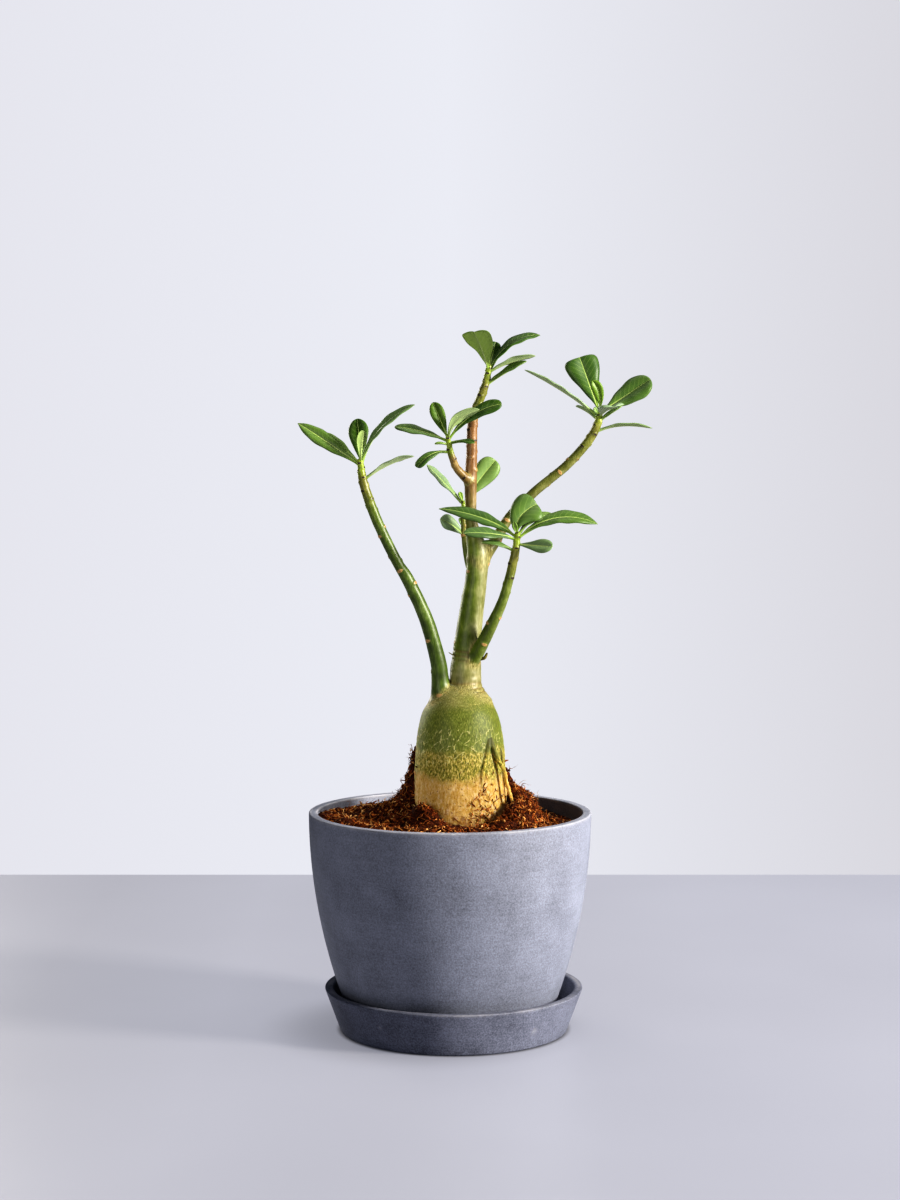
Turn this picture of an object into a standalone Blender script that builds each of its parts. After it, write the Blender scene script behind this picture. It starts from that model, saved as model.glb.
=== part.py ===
"""A potted desert rose (adenium): saucer, pot, soil, swollen caudex, stems and their heads of leaves.

The origin is on the saucer's flat foot, on the pot's axis. +Z is up, and the plant's open front faces -Y.
Lengths are written in millimetres and multiplied by MM.
"""

import math
import random
from collections import namedtuple

import bmesh
import bpy
from mathutils import Vector

MM = 0.001
GAP = 0.3 * MM  # left between pieces that touch
SOIL_GAP = 0.5 * MM  # looser, because the soil's facets don't line up with what they surround

# ---- pot and saucer ----
POT_SIDES = 40
EDGE = 1 * MM  # size of the small rounds on every edge
POT_RIM_RADIUS = 75.5 * MM
POT_RIM_Z = 117.5 * MM
POT_TAPER = 22.4 * MM  # how much narrower the foot is than the rim
POT_WALL = 4.6 * MM
POT_FLOOR = 5 * MM
POT_LEVELS = 9  # bands of facets up the tapering wall
DRAIN_RADIUS = 6 * MM
SAUCER_RIM_RADIUS = 69.3 * MM
SAUCER_FOOT_RADIUS = 60.8 * MM
SAUCER_HEIGHT = 23.2 * MM
SAUCER_WALL = 4.6 * MM
SAUCER_FLOOR = 4.5 * MM
SAUCER_SHIFT = 2 * MM  # the pot stands a little left of the saucer's centre
POT_FOOT_Z = SAUCER_FLOOR + GAP

# ---- caudex: (height, radius) from the buried tip to the crown ----
CAUDEX_X = 5.2 * MM
CAUDEX_PROFILE = [
    (56, 4), (59, 7.2), (64, 10.5), (76, 17.3), (92, 23), (108, 25.4), (123, 25.3), (135, 24.7), (146, 24),
    (155, 23.2), (161, 22.4), (166.5, 21.2), (172, 19.2), (177, 16), (181, 12), (184, 7.5),
]
CAUDEX_TOP = 185.5 * MM
CAUDEX_BOTTOM = 54 * MM
CAUDEX_LOBES = 0.03  # how far the bulb's three sides swell, as a share of its radius
LOBES_START = 167  # the height they start at, and how much lower they are full
LOBES_FADE = 60

# ---- soil ----
SOIL_LEVEL = 109.5 * MM  # where it meets the pot at the right
SOIL_RINGS = (0, 0.05, 0.12, 0.2, 0.29, 0.4, 0.52, 0.66, 0.82, 1)  # shares of the way from caudex to pot
SOIL_WALL_HEIGHTS = (92, 70, 48, 28)
DEEPEST_SURFACE = 106 * MM  # below all of the soil's surface
BURIED_HEIGHT = 100  # the caudex is in the soil all round below this
LUMP = 0.9 * MM  # height of the surface's relief
LUMP_WAVES = 6
SOIL_SEED = 7

# ---- stems: points (x, y, z, radius) in millimetres, from foot to growing tip ----
STEM_SIDES = 13  # leaf scars climb in a 5/13 spiral, so each one falls on an edge of the tube
SCAR_TURN = 5
SCAR_SPACING = 4.6 * MM
SCAR_HEIGHT = 0.45 * MM
SHOOT_SPACING = 2.2 * MM  # between the rings of the green growing end
NECK_REACH = 60 * MM  # how far up the trunk its foot crowds the branch beside it

Stem = namedtuple("Stem", "points grows_from green_end")
STEMS = {
    "trunk": Stem(
        [
            (9.4, 1, 175.5, 12), (9, 1, 179.5, 10.3), (8.3, 1, 185.5, 8.7), (8.5, 1, 195.5, 8.1),
            (9.6, 1, 209.5, 7.1), (11.6, 2, 225.5, 6.4), (14, 2, 242.5, 5.8), (14.7, 2, 255.5, 5.7),
            (12.4, 2, 266.5, 3.9), (11.2, 2, 275.5, 2.9), (11, 2, 293.5, 3.3), (11.5, 2, 308.5, 2.9),
            (11.9, 2, 323.5, 2.7), (13.5, 2, 331.5, 2.3), (17, 2, 340, 2.2), (19.5, 2, 348, 1.8),
            (20.7, 2, 354.5, 1.3),
        ],
        "caudex", 13 * MM),
    "branch_left": Stem(
        [
            (-4, -2.5, 174.5, 6.6), (-4.8, -3, 182.5, 5.3), (-5.3, -3, 189.5, 4.6), (-6.6, -4, 199.5, 4.2),
            (-12.5, -6, 220.5, 3.7), (-22, -8, 241.5, 3.3), (-28.5, -9, 252.5, 2.8), (-38.5, -11, 273.5, 2.7),
            (-45.3, -12, 292.5, 2.4), (-47.2, -12, 304.5, 1.5),
        ],
        "caudex", 13 * MM),
    "branch_low_right": Stem(
        [
            (9, -1, 194.5, 4), (14, -5, 202.5, 3.8), (17.5, -8, 209, 3.4), (23.5, -12, 221.5, 2.9),
            (28.8, -15, 234.5, 2.5), (34, -17, 255.5, 2.2), (35.4, -17, 266.5, 1.4),
        ],
        "trunk", 12 * MM),
    "branch_high_right": Stem(
        [
            (13, 2, 249.5, 4.6), (18, 5, 255, 4.5), (23.5, 7.5, 261, 3.1), (32, 12, 274.5, 2.7),
            (45.5, 16, 288, 2.5), (62, 18, 301.5, 2.4), (73.5, 18, 314, 2.4), (79, 18, 323.5, 2.2),
            (80.8, 18, 332.5, 1.3),
        ],
        "trunk", 15 * MM),
    "shoot_upper_left": Stem(
        [
            (10, 0.5, 294, 2.6), (6.5, -2, 297.5, 2.2), (3.7, -4, 300.5, 2.0), (1.5, -6, 305.5, 1.8),
            (0, -7, 310.5, 1.6), (-1.2, -8, 317.5, 1.0),
        ],
        "trunk", 10 * MM),
    "twig_rear": Stem(
        [
            (13.5, 4, 240.5, 1.9), (10.2, 9.5, 248.5, 1.8), (8.2, 11.5, 258.5, 1.6), (7.3, 12, 270.5, 1.4),
            (7, 12, 282.5, 0.9),
        ],
        "trunk", 22 * MM),
}

# ---- leaves, in millimetres ----
# down: how far below the growing tip it leaves the stem. reach: from there to the leaf's own tip.
# bow: how far the middle of the rib stands off the straight line. faces: where the upper side looks.
# width: at the widest. blunt: 0.2 for a squared end to 0.9 for a pointed one.
# fold: degrees of V along the rib.
Leaf = namedtuple("Leaf", "down reach bow faces width blunt fold")
LEAVES = {
    "branch_left": [
        Leaf(2.5, (-33.5, 8, 22.5), (-1, 0, 1), (-0.2, -0.75, 0.65), 9.5, 0.95, 14),
        Leaf(1.5, (-16, 11, 15.5), (-0.5, 0, 0.8), (0.4, -0.75, 0.5), 6.5, 0.65, 18),
        Leaf(1.5, (-1, 9, 23), (0, 2, 0), (0, -0.95, 0.3), 11.5, 0.3, 12),
        Leaf(1, (2, -3, 18), (-0.5, -1.5, 0), (0.2, 0.9, 0.4), 5.8, 0.45, 24),
        Leaf(2.5, (28.5, -6, 32), (-4.5, 0, 2.5), (-0.65, 0.6, 0.55), 8.6, 0.75, 16),
        Leaf(10, (27, -5, 12.5), (-0.5, 0, 1.8), (-0.3, 0.35, 0.9), 6.5, 0.7, 18),
    ],
    "trunk": [
        Leaf(1.5, (-6.5, -14, 18.5), (0.8, -1, 0), (0.54, 0.6, 0.56), 19, 0.27, 8),
        Leaf(4, (27.5, 9, 20), (-2.5, 0, 4.5), (-0.4, -0.75, 0.55), 10.5, 0.8, 10),
        Leaf(1.5, (4, 8, 15), (0, 2, 0), (0, -0.9, 0.4), 7, 0.4, 12),
        Leaf(3, (25, -4, 8.5), (-1, 0, 1), (-0.3, 0.5, 0.85), 6.5, 0.8, 16),
        Leaf(10, (22, -4, 11.5), (-0.5, 0, 0.3), (-0.45, -0.2, 0.9), 7.5, 0.75, 20),
    ],
    "branch_low_right": [
        Leaf(2, (-40.5, 6, 14), (3, 0, 1.6), (0.2, -0.55, 0.8), 11.5, 0.9, 12),
        Leaf(3, (-28, -9, 3.5), (1, 0, 1.2), (0.15, -0.55, 0.8), 10, 0.4, 14),
        Leaf(9, (-18, -4, 4.5), (0, 0, 1), (0.2, -0.35, 0.9), 6.5, 0.8, 18),
        Leaf(1, (9, 7, 16.5), (-3.5, -1, -1), (-0.4, -0.8, 0.45), 19, 0.27, 9),
        Leaf(1.5, (18.5, 8, 12), (-1.5, 0, 2.2), (-0.5, -0.4, 0.75), 8, 0.75, 16),
        Leaf(3, (42.5, 4, 8.5), (-1, 0, 6), (-0.05, -0.55, 0.85), 11.5, 0.8, 12),
        Leaf(5.5, (18.5, -9, -1), (0, 0, 0), (-0.1, -0.85, 0.5), 8.5, 0.5, 12),
        Leaf(0.5, (-3, -2, 8), (0, 0, 0), (0.3, -0.9, 0.3), 4, 0.7, 28),
    ],
    "branch_high_right": [
        Leaf(2, (-9.5, 10, 29.5), (0, 1.5, 0), (0.5, -0.74, 0.42), 18.5, 0.27, 8),
        Leaf(1.5, (-4.5, -3.5, 16.5), (1.8, 0, 1), (0.35, -0.85, 0.35), 6.5, 0.6, 18),
        Leaf(2.5, (28.5, 6, 18.5), (-0.5, 2, -0.5), (-0.35, -0.8, 0.5), 15, 0.5, 8),
        Leaf(4, (6.5, -21, 4.5), (0, 0, 1), (-0.1, 0.25, 1), 15, 0.35, 12),
        Leaf(4, (-40.5, -9, 24.5), (0, 0, 1.5), (0.5, 0.15, 0.85), 6.5, 0.8, 20),
        Leaf(6, (-12, 6, 7.5), (0, 0, 1), (0.4, 0, 0.9), 6, 0.7, 18),
        Leaf(5, (-3, -3, 5.5), (0, 0, 0), (0.5, -0.8, 0.4), 4.5, 0.5, 16),
        Leaf(6.5, (12.5, -6, 8), (0, 0, 0), (-0.5, -0.4, 0.8), 6, 0.6, 20),
        Leaf(13, (31, -4, 2), (-1, 0, 2.6), (-0.1, 0.1, 1), 6, 0.8, 18),
    ],
    "shoot_upper_left": [
        Leaf(2.5, (-28.5, 5, 7.5), (0, 0, 1.2), (0.25, -0.65, 0.7), 7.5, 0.6, 14),
        Leaf(1.5, (-7.5, 3, 18), (0, 0, 0), (0.4, -0.85, 0.4), 8, 0.5, 26),
        Leaf(1, (15.5, -7, 13), (-3.5, -1, 2), (-0.4, 0.6, 0.65), 8, 0.75, 14),
        Leaf(2, (28, -4, 19), (-2, 0, 3), (-0.2, -0.8, 0.55), 9, 0.4, 12),
        Leaf(3.5, (13.5, -6, 0), (0, 0, 0.8), (-0.2, -0.25, 0.9), 6, 0.6, 12),
        Leaf(8.5, (-17.5, -7, -8), (-0.5, 0, 3), (-0.2, -0.6, 0.75), 7.2, 0.35, 12),
        Leaf(4, (-7.5, -2, 0), (0, 0, 0.4), (0.2, 0, 1), 3, 0.8, 18),
    ],
    "twig_rear": [
        Leaf(1, (-19.5, 5, 20.5), (-0.8, 0, 0.8), (0.5, -0.5, 0.65), 7.5, 0.8, 16),
        Leaf(0.5, (-2, 1, 6), (0, 0, 0), (0.3, -0.9, 0.3), 3.2, 0.6, 22),
        Leaf(1.5, (17.5, 8, 24), (-1, 1, 0), (-0.25, -0.9, 0.4), 10.5, 0.45, 12),
        Leaf(18, (-13, -4, 9), (0, 0, 1), (0.35, -0.85, 0.4), 8.5, 0.6, 24),
        Leaf(14, (-2.5, 0, 5.5), (0, 0, 0), (0.4, -0.8, 0.4), 3, 0.7, 22),
    ],
}
HEAD_NAMES = {
    "branch_left": "leaves_left",
    "trunk": "leaves_top",
    "branch_low_right": "leaves_low_right",
    "branch_high_right": "leaves_high_right",
    "shoot_upper_left": "leaves_upper_left",
    "twig_rear": "leaves_rear",
}
LEAF_STATIONS = (0, 0.13, 0.28, 0.43, 0.57, 0.7, 0.82, 0.92, 1)  # shares of its length, closer near the tip
LEAF_SHOULDER = 1.5  # the power that draws the blade in to its stalk
PETIOLE_WIDTH = 1.3 * MM
TIP_WIDTH = 0.8 * MM
EDGE_THICKNESS = 0.62 * MM
RIB_THICKNESS = 0.95 * MM

# ---- roots that stand clear of the caudex: points (x, y, z, radius) ----
ROOTS = [
    [
        (21.5, -11, 158, 1.5), (21, -16, 153.5, 2.0), (19.5, -18.8, 147, 1.8), (19, -20.6, 139, 1.5),
        (20, -20, 130, 1.2),
    ],
    [
        (22, -11, 158, 1.6), (23.8, -15, 152, 2.1), (25.5, -15.8, 144, 2.1), (28.5, -14.5, 134, 1.9),
        (33, -13, 123, 1.5), (37, -12, 112, 1.0),
    ],
    [
        (24, -4, 156, 1.4), (28.6, -7.5, 150.5, 1.7), (29.6, -7.6, 142, 1.8), (32, -7.5, 131, 1.7),
        (37.5, -7, 121, 1.3), (44, -7, 110, 0.8),
    ],
    [
        (22, 8, 152, 1.3), (26.8, 12, 145, 1.6), (28.8, 13, 134, 1.5), (32, 14, 120, 1.0),
    ],
    [
        (-9, 14, 148, 1.3), (-13, 18, 141, 1.6), (-15.5, 20.5, 131, 1.4), (-18, 23, 116, 1.0),
    ],
]
ROOT_SIDES = 7
ROOT_SPACING = 6 * MM

COLOURS = {
    "pot": (0.205, 0.215, 0.268),
    "soil": (0.072, 0.032, 0.016),
    "caudex": (0.36, 0.36, 0.12),
    "bark": (0.24, 0.27, 0.07),
    "leaf": (0.075, 0.165, 0.035),
}


# ---------------------------------------------------------------- helpers
def material(name, roughness=0.75):
    """A plain material in one of COLOURS."""
    made = bpy.data.materials.get(name)
    if made is None:
        made = bpy.data.materials.new(name)
        made.use_nodes = True
        shader = made.node_tree.nodes["Principled BSDF"]
        shader.inputs["Base Color"].default_value = (*COLOURS[name], 1)
        shader.inputs["Roughness"].default_value = roughness
    return made


def add_object(name, shape, finish, smooth_angle=None):
    """Links a finished bmesh into the scene as one object."""
    bmesh.ops.recalc_face_normals(shape, faces=shape.faces)
    mesh = bpy.data.meshes.new(name)
    shape.to_mesh(mesh)
    shape.free()
    mesh.materials.append(material(finish))
    if smooth_angle is not None:
        mesh.shade_smooth()
        mesh.set_sharp_from_angle(angle=smooth_angle)
    made = bpy.data.objects.new(name, mesh)
    bpy.context.scene.collection.objects.link(made)
    return made


def turned(name, profile, sides, finish, centre_x=0.0):
    """A round piece: an outline of (radius, height) points, closed on itself or on the axis, spun about Z."""
    shape = bmesh.new()
    points = [shape.verts.new((radius, 0, z)) for radius, z in profile]
    edges = [shape.edges.new(pair) for pair in zip(points, points[1:], strict=False)]
    if profile[0][0] > 0:
        edges.append(shape.edges.new((points[-1], points[0])))
    bmesh.ops.spin(
        shape, geom=points + edges, cent=(0, 0, 0), axis=(0, 0, 1),
        angle=math.tau, steps=sides, use_merge=True,
    )
    bmesh.ops.remove_doubles(shape, verts=shape.verts, dist=0.001 * MM)
    bmesh.ops.translate(shape, verts=shape.verts, vec=(centre_x, 0, 0))
    return add_object(name, shape, finish, smooth_angle=math.radians(40))


def loft(rings, start=None, end=None):
    """A closed skin over rings of points, each end drawn in to the point given, or capped flat."""
    shape = bmesh.new()
    rows = [[shape.verts.new(point) for point in ring] for ring in rings]
    count = len(rows[0])
    for low, high in zip(rows, rows[1:], strict=False):
        for i in range(count):
            j = (i + 1) % count
            shape.faces.new((low[i], low[j], high[j], high[i]))
    for row, pole in ((rows[0][::-1], start), (rows[-1], end)):
        if pole is None:
            shape.faces.new(row)
            continue
        tip = shape.verts.new(pole)
        for i in range(count):
            shape.faces.new((row[i], row[(i + 1) % count], tip))
    return shape


def smooth_through(points, steps):
    """Points on the Catmull-Rom curve through points, `steps` to each stretch."""
    ends = [[2 * a - b for a, b in zip(points[0], points[1], strict=True)]]
    tails = [[2 * a - b for a, b in zip(points[-1], points[-2], strict=True)]]
    full = ends + [list(p) for p in points] + tails
    curve = []
    for p0, p1, p2, p3 in zip(full, full[1:], full[2:], full[3:], strict=False):
        for k in range(steps):
            t = k / steps
            weights = (-t + 2 * t**2 - t**3, 2 - 5 * t**2 + 3 * t**3, t + 4 * t**2 - 3 * t**3, t**3 - t**2)
            quads = zip(p0, p1, p2, p3, strict=True)
            curve.append([0.5 * sum(w * v for w, v in zip(weights, quad, strict=True)) for quad in quads])
    curve.append(list(points[-1]))
    return curve


def along(points, spacing, start=0.0, stop=None):
    """(place, radius) pairs evenly spaced on the smooth curve through stem points given in millimetres."""
    fine = [(Vector(p[:3]) * MM, p[3] * MM) for p in smooth_through(points, 12)]
    travelled = [0.0]
    for (a, _), (b, _) in zip(fine, fine[1:], strict=False):
        travelled.append(travelled[-1] + (b - a).length)
    stop = travelled[-1] if stop is None else stop
    count = max(2, round((stop - start) / spacing))
    found, k = [], 0
    for i in range(count + 1):
        wanted = start + (stop - start) * i / count
        while k < len(fine) - 2 and travelled[k + 1] < wanted:
            k += 1
        share = (wanted - travelled[k]) / (travelled[k + 1] - travelled[k])
        (place, radius), (next_place, next_radius) = fine[k], fine[k + 1]
        found.append((place.lerp(next_place, share), radius + (next_radius - radius) * share))
    return found


def stem_length(points):
    path = along(points, 1 * MM)
    return sum((b - a).length for (a, _), (b, _) in zip(path, path[1:], strict=False))


def tube_rings(path, sides, relief=None):
    """Rings of points round a path of (place, radius), turned as little as possible from one to the next."""
    places = [place for place, _ in path]
    across = Vector((1, 0, 0))
    rings = []
    for i, (place, radius) in enumerate(path):
        forward = (places[min(i + 1, len(places) - 1)] - places[max(i - 1, 0)]).normalized()
        across = (across - forward * across.dot(forward)).normalized()
        beside = forward.cross(across)
        ring = []
        for k in range(sides):
            turn = math.tau * k / sides
            reach = radius + (relief(i, k) if relief else 0.0)
            ring.append(place + reach * (math.cos(turn) * across + math.sin(turn) * beside))
        rings.append(ring)
    return rings


def fuse(target, extras):
    """Joins loose objects to target with one applied Boolean union, and removes them."""
    group = bpy.data.collections.new(target.name + "_extras")
    bpy.context.scene.collection.children.link(group)
    for extra in extras:
        bpy.context.scene.collection.objects.unlink(extra)
        group.objects.link(extra)
    union = target.modifiers.new("fuse", "BOOLEAN")
    union.operation = "UNION"
    union.operand_type = "COLLECTION"
    union.collection = group
    apply_modifiers(target)
    for extra in extras:
        bpy.data.objects.remove(extra)
    bpy.data.collections.remove(group)


def apply_modifiers(target):
    """Gives the object the mesh that its modifiers make, without the slivers that a Boolean leaves."""
    graph = bpy.context.evaluated_depsgraph_get()
    applied = bpy.data.meshes.new_from_object(target.evaluated_get(graph))
    target.modifiers.clear()
    shape = bmesh.new()
    shape.from_mesh(applied)
    bmesh.ops.dissolve_degenerate(shape, edges=shape.edges, dist=0.002 * MM)
    bmesh.ops.triangulate(shape, faces=[face for face in shape.faces if len(face.verts) > 4])
    shape.to_mesh(applied)
    shape.free()
    target.data = applied


def carve(target, cutters):
    """Cuts the cutters out of target, and removes them."""
    for cutter in cutters:
        cut = target.modifiers.new("carve", "BOOLEAN")
        cut.operation = "DIFFERENCE"
        cut.object = cutter
    apply_modifiers(target)
    for cutter in cutters:
        bpy.data.objects.remove(cutter)


# ---------------------------------------------------------------- pot and saucer
def pot_radius(z):
    """The pot's outer radius: a parabola that is upright at the rim and tapers to the foot."""
    share = (POT_RIM_Z - z) / (POT_RIM_Z - POT_FOOT_Z)
    return POT_RIM_RADIUS - POT_TAPER * share**2


def make_saucer():
    slope = (SAUCER_RIM_RADIUS - SAUCER_FOOT_RADIUS) / SAUCER_HEIGHT
    inner_foot = SAUCER_FOOT_RADIUS + slope * SAUCER_FLOOR - SAUCER_WALL
    inner_rim = SAUCER_RIM_RADIUS - SAUCER_WALL
    outside = [
        (0, 0), (SAUCER_FOOT_RADIUS / 2, 0), (SAUCER_FOOT_RADIUS - 2 * EDGE, 0),
        (SAUCER_FOOT_RADIUS - 0.4 * EDGE, 0.5 * EDGE), (SAUCER_FOOT_RADIUS + 0.6 * EDGE, 2 * EDGE),
        (SAUCER_RIM_RADIUS - 0.25 * EDGE, SAUCER_HEIGHT - 0.8 * EDGE),
        (SAUCER_RIM_RADIUS - EDGE, SAUCER_HEIGHT),
    ]
    inside = [
        (inner_rim + 0.5 * EDGE, SAUCER_HEIGHT), (inner_rim, SAUCER_HEIGHT - 0.6 * EDGE),
        (inner_foot + EDGE, SAUCER_FLOOR + 2.5 * EDGE), (inner_foot - EDGE, SAUCER_FLOOR), (0, SAUCER_FLOOR),
    ]
    return turned("saucer", outside + inside, POT_SIDES, "pot", centre_x=SAUCER_SHIFT)


def make_pot():
    lowest = POT_FOOT_Z + 2.5 * EDGE
    highest = POT_RIM_Z - EDGE
    heights = [lowest + (highest - lowest) * k / POT_LEVELS for k in range(POT_LEVELS + 1)]
    floor = POT_FOOT_Z + POT_FLOOR
    outside = [(DRAIN_RADIUS, POT_FOOT_Z), (pot_radius(POT_FOOT_Z) - 2 * EDGE, POT_FOOT_Z)]
    outside += [(pot_radius(z), z) for z in heights]
    outside += [(POT_RIM_RADIUS - 0.9 * EDGE, POT_RIM_Z), (POT_RIM_RADIUS - POT_WALL + 0.7 * EDGE, POT_RIM_Z)]
    inside = [(pot_radius(z) - POT_WALL, z) for z in [*reversed(heights[1:]), floor + 2 * EDGE]]
    inside += [(pot_radius(floor) - POT_WALL - 3 * EDGE, floor), (DRAIN_RADIUS, floor)]
    return turned("pot", outside + inside, POT_SIDES, "pot")


# ---------------------------------------------------------------- caudex
def caudex_radius(z, turn):
    """The bulb's radius at a height: read along its profile, swelling into soft lobes towards the ground."""
    height = min(max(z / MM, CAUDEX_PROFILE[0][0]), CAUDEX_PROFILE[-1][0])
    k = next(i for i in range(1, len(CAUDEX_PROFILE)) if CAUDEX_PROFILE[i][0] >= height)
    (z0, r0), (z1, r1) = CAUDEX_PROFILE[k - 1], CAUDEX_PROFILE[k]
    radius = r0 + (r1 - r0) * (height - z0) / (z1 - z0)
    low = min(1.0, max(0.0, (LOBES_START - height) / LOBES_FADE))
    return radius * MM * (1 + CAUDEX_LOBES * low * math.cos(3 * turn + 0.6))


def caudex_point(z, turn, grow=0.0):
    radius = caudex_radius(z, turn) + grow
    return Vector((CAUDEX_X + radius * math.cos(turn), radius * math.sin(turn), z))


def caudex_shape(grow=0.0):
    turns = [math.tau * k / POT_SIDES for k in range(POT_SIDES)]
    lift = Vector((0, 0, grow))
    rings = [[caudex_point(z * MM, turn, grow) + lift for turn in turns] for z, _ in CAUDEX_PROFILE]
    return loft(rings, start=(CAUDEX_X, 0, CAUDEX_BOTTOM - grow), end=(CAUDEX_X, 0, CAUDEX_TOP + grow))


def root_object(points, grow=0.0):
    path = [(place, radius + grow) for place, radius in along(points, ROOT_SPACING)]
    tip = path[-1][0] + (path[-1][0] - path[-2][0]).normalized() * (path[-1][1] + grow)
    return add_object("root", loft(tube_rings(path, ROOT_SIDES), end=tip), "caudex")


def make_caudex():
    bulb = add_object("caudex", caudex_shape(), "caudex", smooth_angle=math.radians(50))
    fuse(bulb, [root_object(points) for points in ROOTS])
    return bulb


# ---------------------------------------------------------------- soil
def bump(turn, centre, spread):
    """1 at the angle `centre` and falling away over `spread`, all in degrees but turn."""
    away = (math.degrees(turn) - centre + 180) % 360 - 180
    return math.exp(-((away / spread) ** 2))


def soil_height(turn, out, lumps):
    """The surface `out` from the caudex: banked at the plant's left, heaped at its right, low in front.

    Each part has its own direction, spread and height, and falls away over a few millimetres or centimetres.
    """
    far = out / MM
    left = bump(turn, 163, 34) * (17 * math.exp(-far / 20) + 20 * math.exp(-far / 4))
    right = bump(turn, 14, 30) * (18 / (1 + math.exp((far - 17) / 2)) + 11 * math.exp(-far / 4))
    behind = bump(turn, 90, 40) * (10 * math.exp(-far / 14) + 8 * math.exp(-far / 4))
    front = bump(turn, -90, 55) * 2.5
    rim = bump(turn, 180, 60) * 3.5
    relief = sum(math.sin(a * far + b * turn + c) for a, b, c in lumps) / len(lumps)
    return SOIL_LEVEL + (left + right + behind + front + rim) * MM + 2 * LUMP * relief


def make_soil():
    rng = random.Random(SOIL_SEED)
    lumps = [
        (rng.uniform(0.2, 0.55), rng.choice((-9, -7, -5, 5, 7, 9)), rng.uniform(0, math.tau))
        for _ in range(LUMP_WAVES)
    ]
    turns = [math.tau * k / POT_SIDES for k in range(POT_SIDES)]
    floor = POT_FOOT_Z + POT_FLOOR + SOIL_GAP

    def wall(z, turn):
        radius = pot_radius(z) - POT_WALL - SOIL_GAP
        return Vector((radius * math.cos(turn), radius * math.sin(turn), z))

    def top(share, turn):
        inner = caudex_point(125 * MM, turn, SOIL_GAP)
        outer = wall(SOIL_LEVEL, turn)
        place = inner.lerp(outer, share)
        z = soil_height(turn, (place - inner).length, lumps)
        if share == 0:
            return caudex_point(z, turn, SOIL_GAP)
        return Vector((place.x, place.y, z))

    def hole(share, turn):
        return caudex_point(DEEPEST_SURFACE + (top(0, turn).z - DEEPEST_SURFACE) * share, turn, SOIL_GAP)

    buried = [z for z, _ in CAUDEX_PROFILE if z < BURIED_HEIGHT]
    rings = [[caudex_point(z * MM, turn, SOIL_GAP) for turn in turns] for z in buried]
    rings += [[hole(share, turn) for turn in turns] for share in (0, 0.5)]
    rings += [[top(share, turn) for turn in turns] for share in SOIL_RINGS]
    rings += [[wall(z * MM, turn) for turn in turns] for z in SOIL_WALL_HEIGHTS]
    rings += [[wall(floor + 4 * EDGE, turn) for turn in turns]]
    foot = pot_radius(floor) - POT_WALL - 5 * EDGE
    rings += [[Vector((foot * math.cos(turn), foot * math.sin(turn), floor)) for turn in turns]]
    bottom_of_hole = (CAUDEX_X, 0, CAUDEX_BOTTOM - 2 * SOIL_GAP)
    soil = add_object("soil", loft(rings, start=bottom_of_hole, end=(0, 0, floor)), "soil")
    carve(soil, [root_object(points, SOIL_GAP) for points in ROOTS])
    return soil


# ---------------------------------------------------------------- stems
def scar_relief(ring, side):
    """Lifts one edge of each ring of a stem as an old leaf scar, further round the spiral each time."""
    return SCAR_HEIGHT if side == ring * SCAR_TURN % STEM_SIDES else 0.0


def stem_object(name, stem, grow=0.0, stop=None):
    """A stem's tube. One that is grown, to cut with, clears every scar and has none of its own."""
    grow_past_scars = grow + SCAR_HEIGHT if grow else 0.0
    path = [(place, radius + grow_past_scars) for place, radius in along(stem.points, SCAR_SPACING, stop=stop)]
    rings = tube_rings(path, STEM_SIDES, relief=None if grow else scar_relief)
    return add_object(name, loft(rings), "bark", smooth_angle=math.radians(60))


def make_stem(name, stem):
    """The woody part of a stem, cut clear of what it grows from and of the stem beside its foot."""
    made = stem_object(name, stem, stop=stem_length(stem.points) - stem.green_end - GAP)
    if stem.grows_from == "caudex":
        cutters = [add_object("cutter", caudex_shape(GAP), "caudex")]
        if name != "trunk":
            cutters.append(stem_object("cutter", STEMS["trunk"], grow=GAP, stop=NECK_REACH))
    else:
        cutters = [stem_object("cutter", STEMS[stem.grows_from], grow=GAP)]
    carve(made, cutters)
    keep_largest(made)
    return made


def keep_largest(target):
    """Drops the scraps that a cut left on the far side of what was cut away."""
    shape = bmesh.new()
    shape.from_mesh(target.data)
    islands, seen = [], set()
    for first in shape.verts:
        if first in seen:
            continue
        island, waiting = [], [first]
        seen.add(first)
        while waiting:
            vertex = waiting.pop()
            island.append(vertex)
            for edge in vertex.link_edges:
                other = edge.other_vert(vertex)
                if other not in seen:
                    seen.add(other)
                    waiting.append(other)
        islands.append(island)
    islands.sort(key=len)
    bmesh.ops.delete(shape, geom=[v for island in islands[:-1] for v in island], context="VERTS")
    shape.to_mesh(target.data)
    shape.free()


# ---------------------------------------------------------------- leaves
def leaf_width(leaf, share):
    """The blade's width: a narrow stalk, widest past the middle, and an end as blunt as the leaf says."""
    peak = LEAF_SHOULDER / (LEAF_SHOULDER + leaf.blunt)
    blade = (share / peak) ** LEAF_SHOULDER * ((1 - share) / (1 - peak)) ** leaf.blunt
    least = PETIOLE_WIDTH + (TIP_WIDTH - PETIOLE_WIDTH) * share
    return max(least, leaf.width * MM * blade)


def leaf_frame(leaf, base, share):
    """(place, side, up) on the rib: a shallow arc from base to tip, its upper side turned as the leaf says."""
    reach, bow = Vector(leaf.reach) * MM, Vector(leaf.bow) * MM
    place = base + reach * share + bow * 4 * share * (1 - share)
    ahead = (reach + bow * 4 * (1 - 2 * share)).normalized()
    faces = Vector(leaf.faces)
    up = (faces - ahead * faces.dot(ahead)).normalized()
    return place, ahead.cross(up), up


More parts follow.
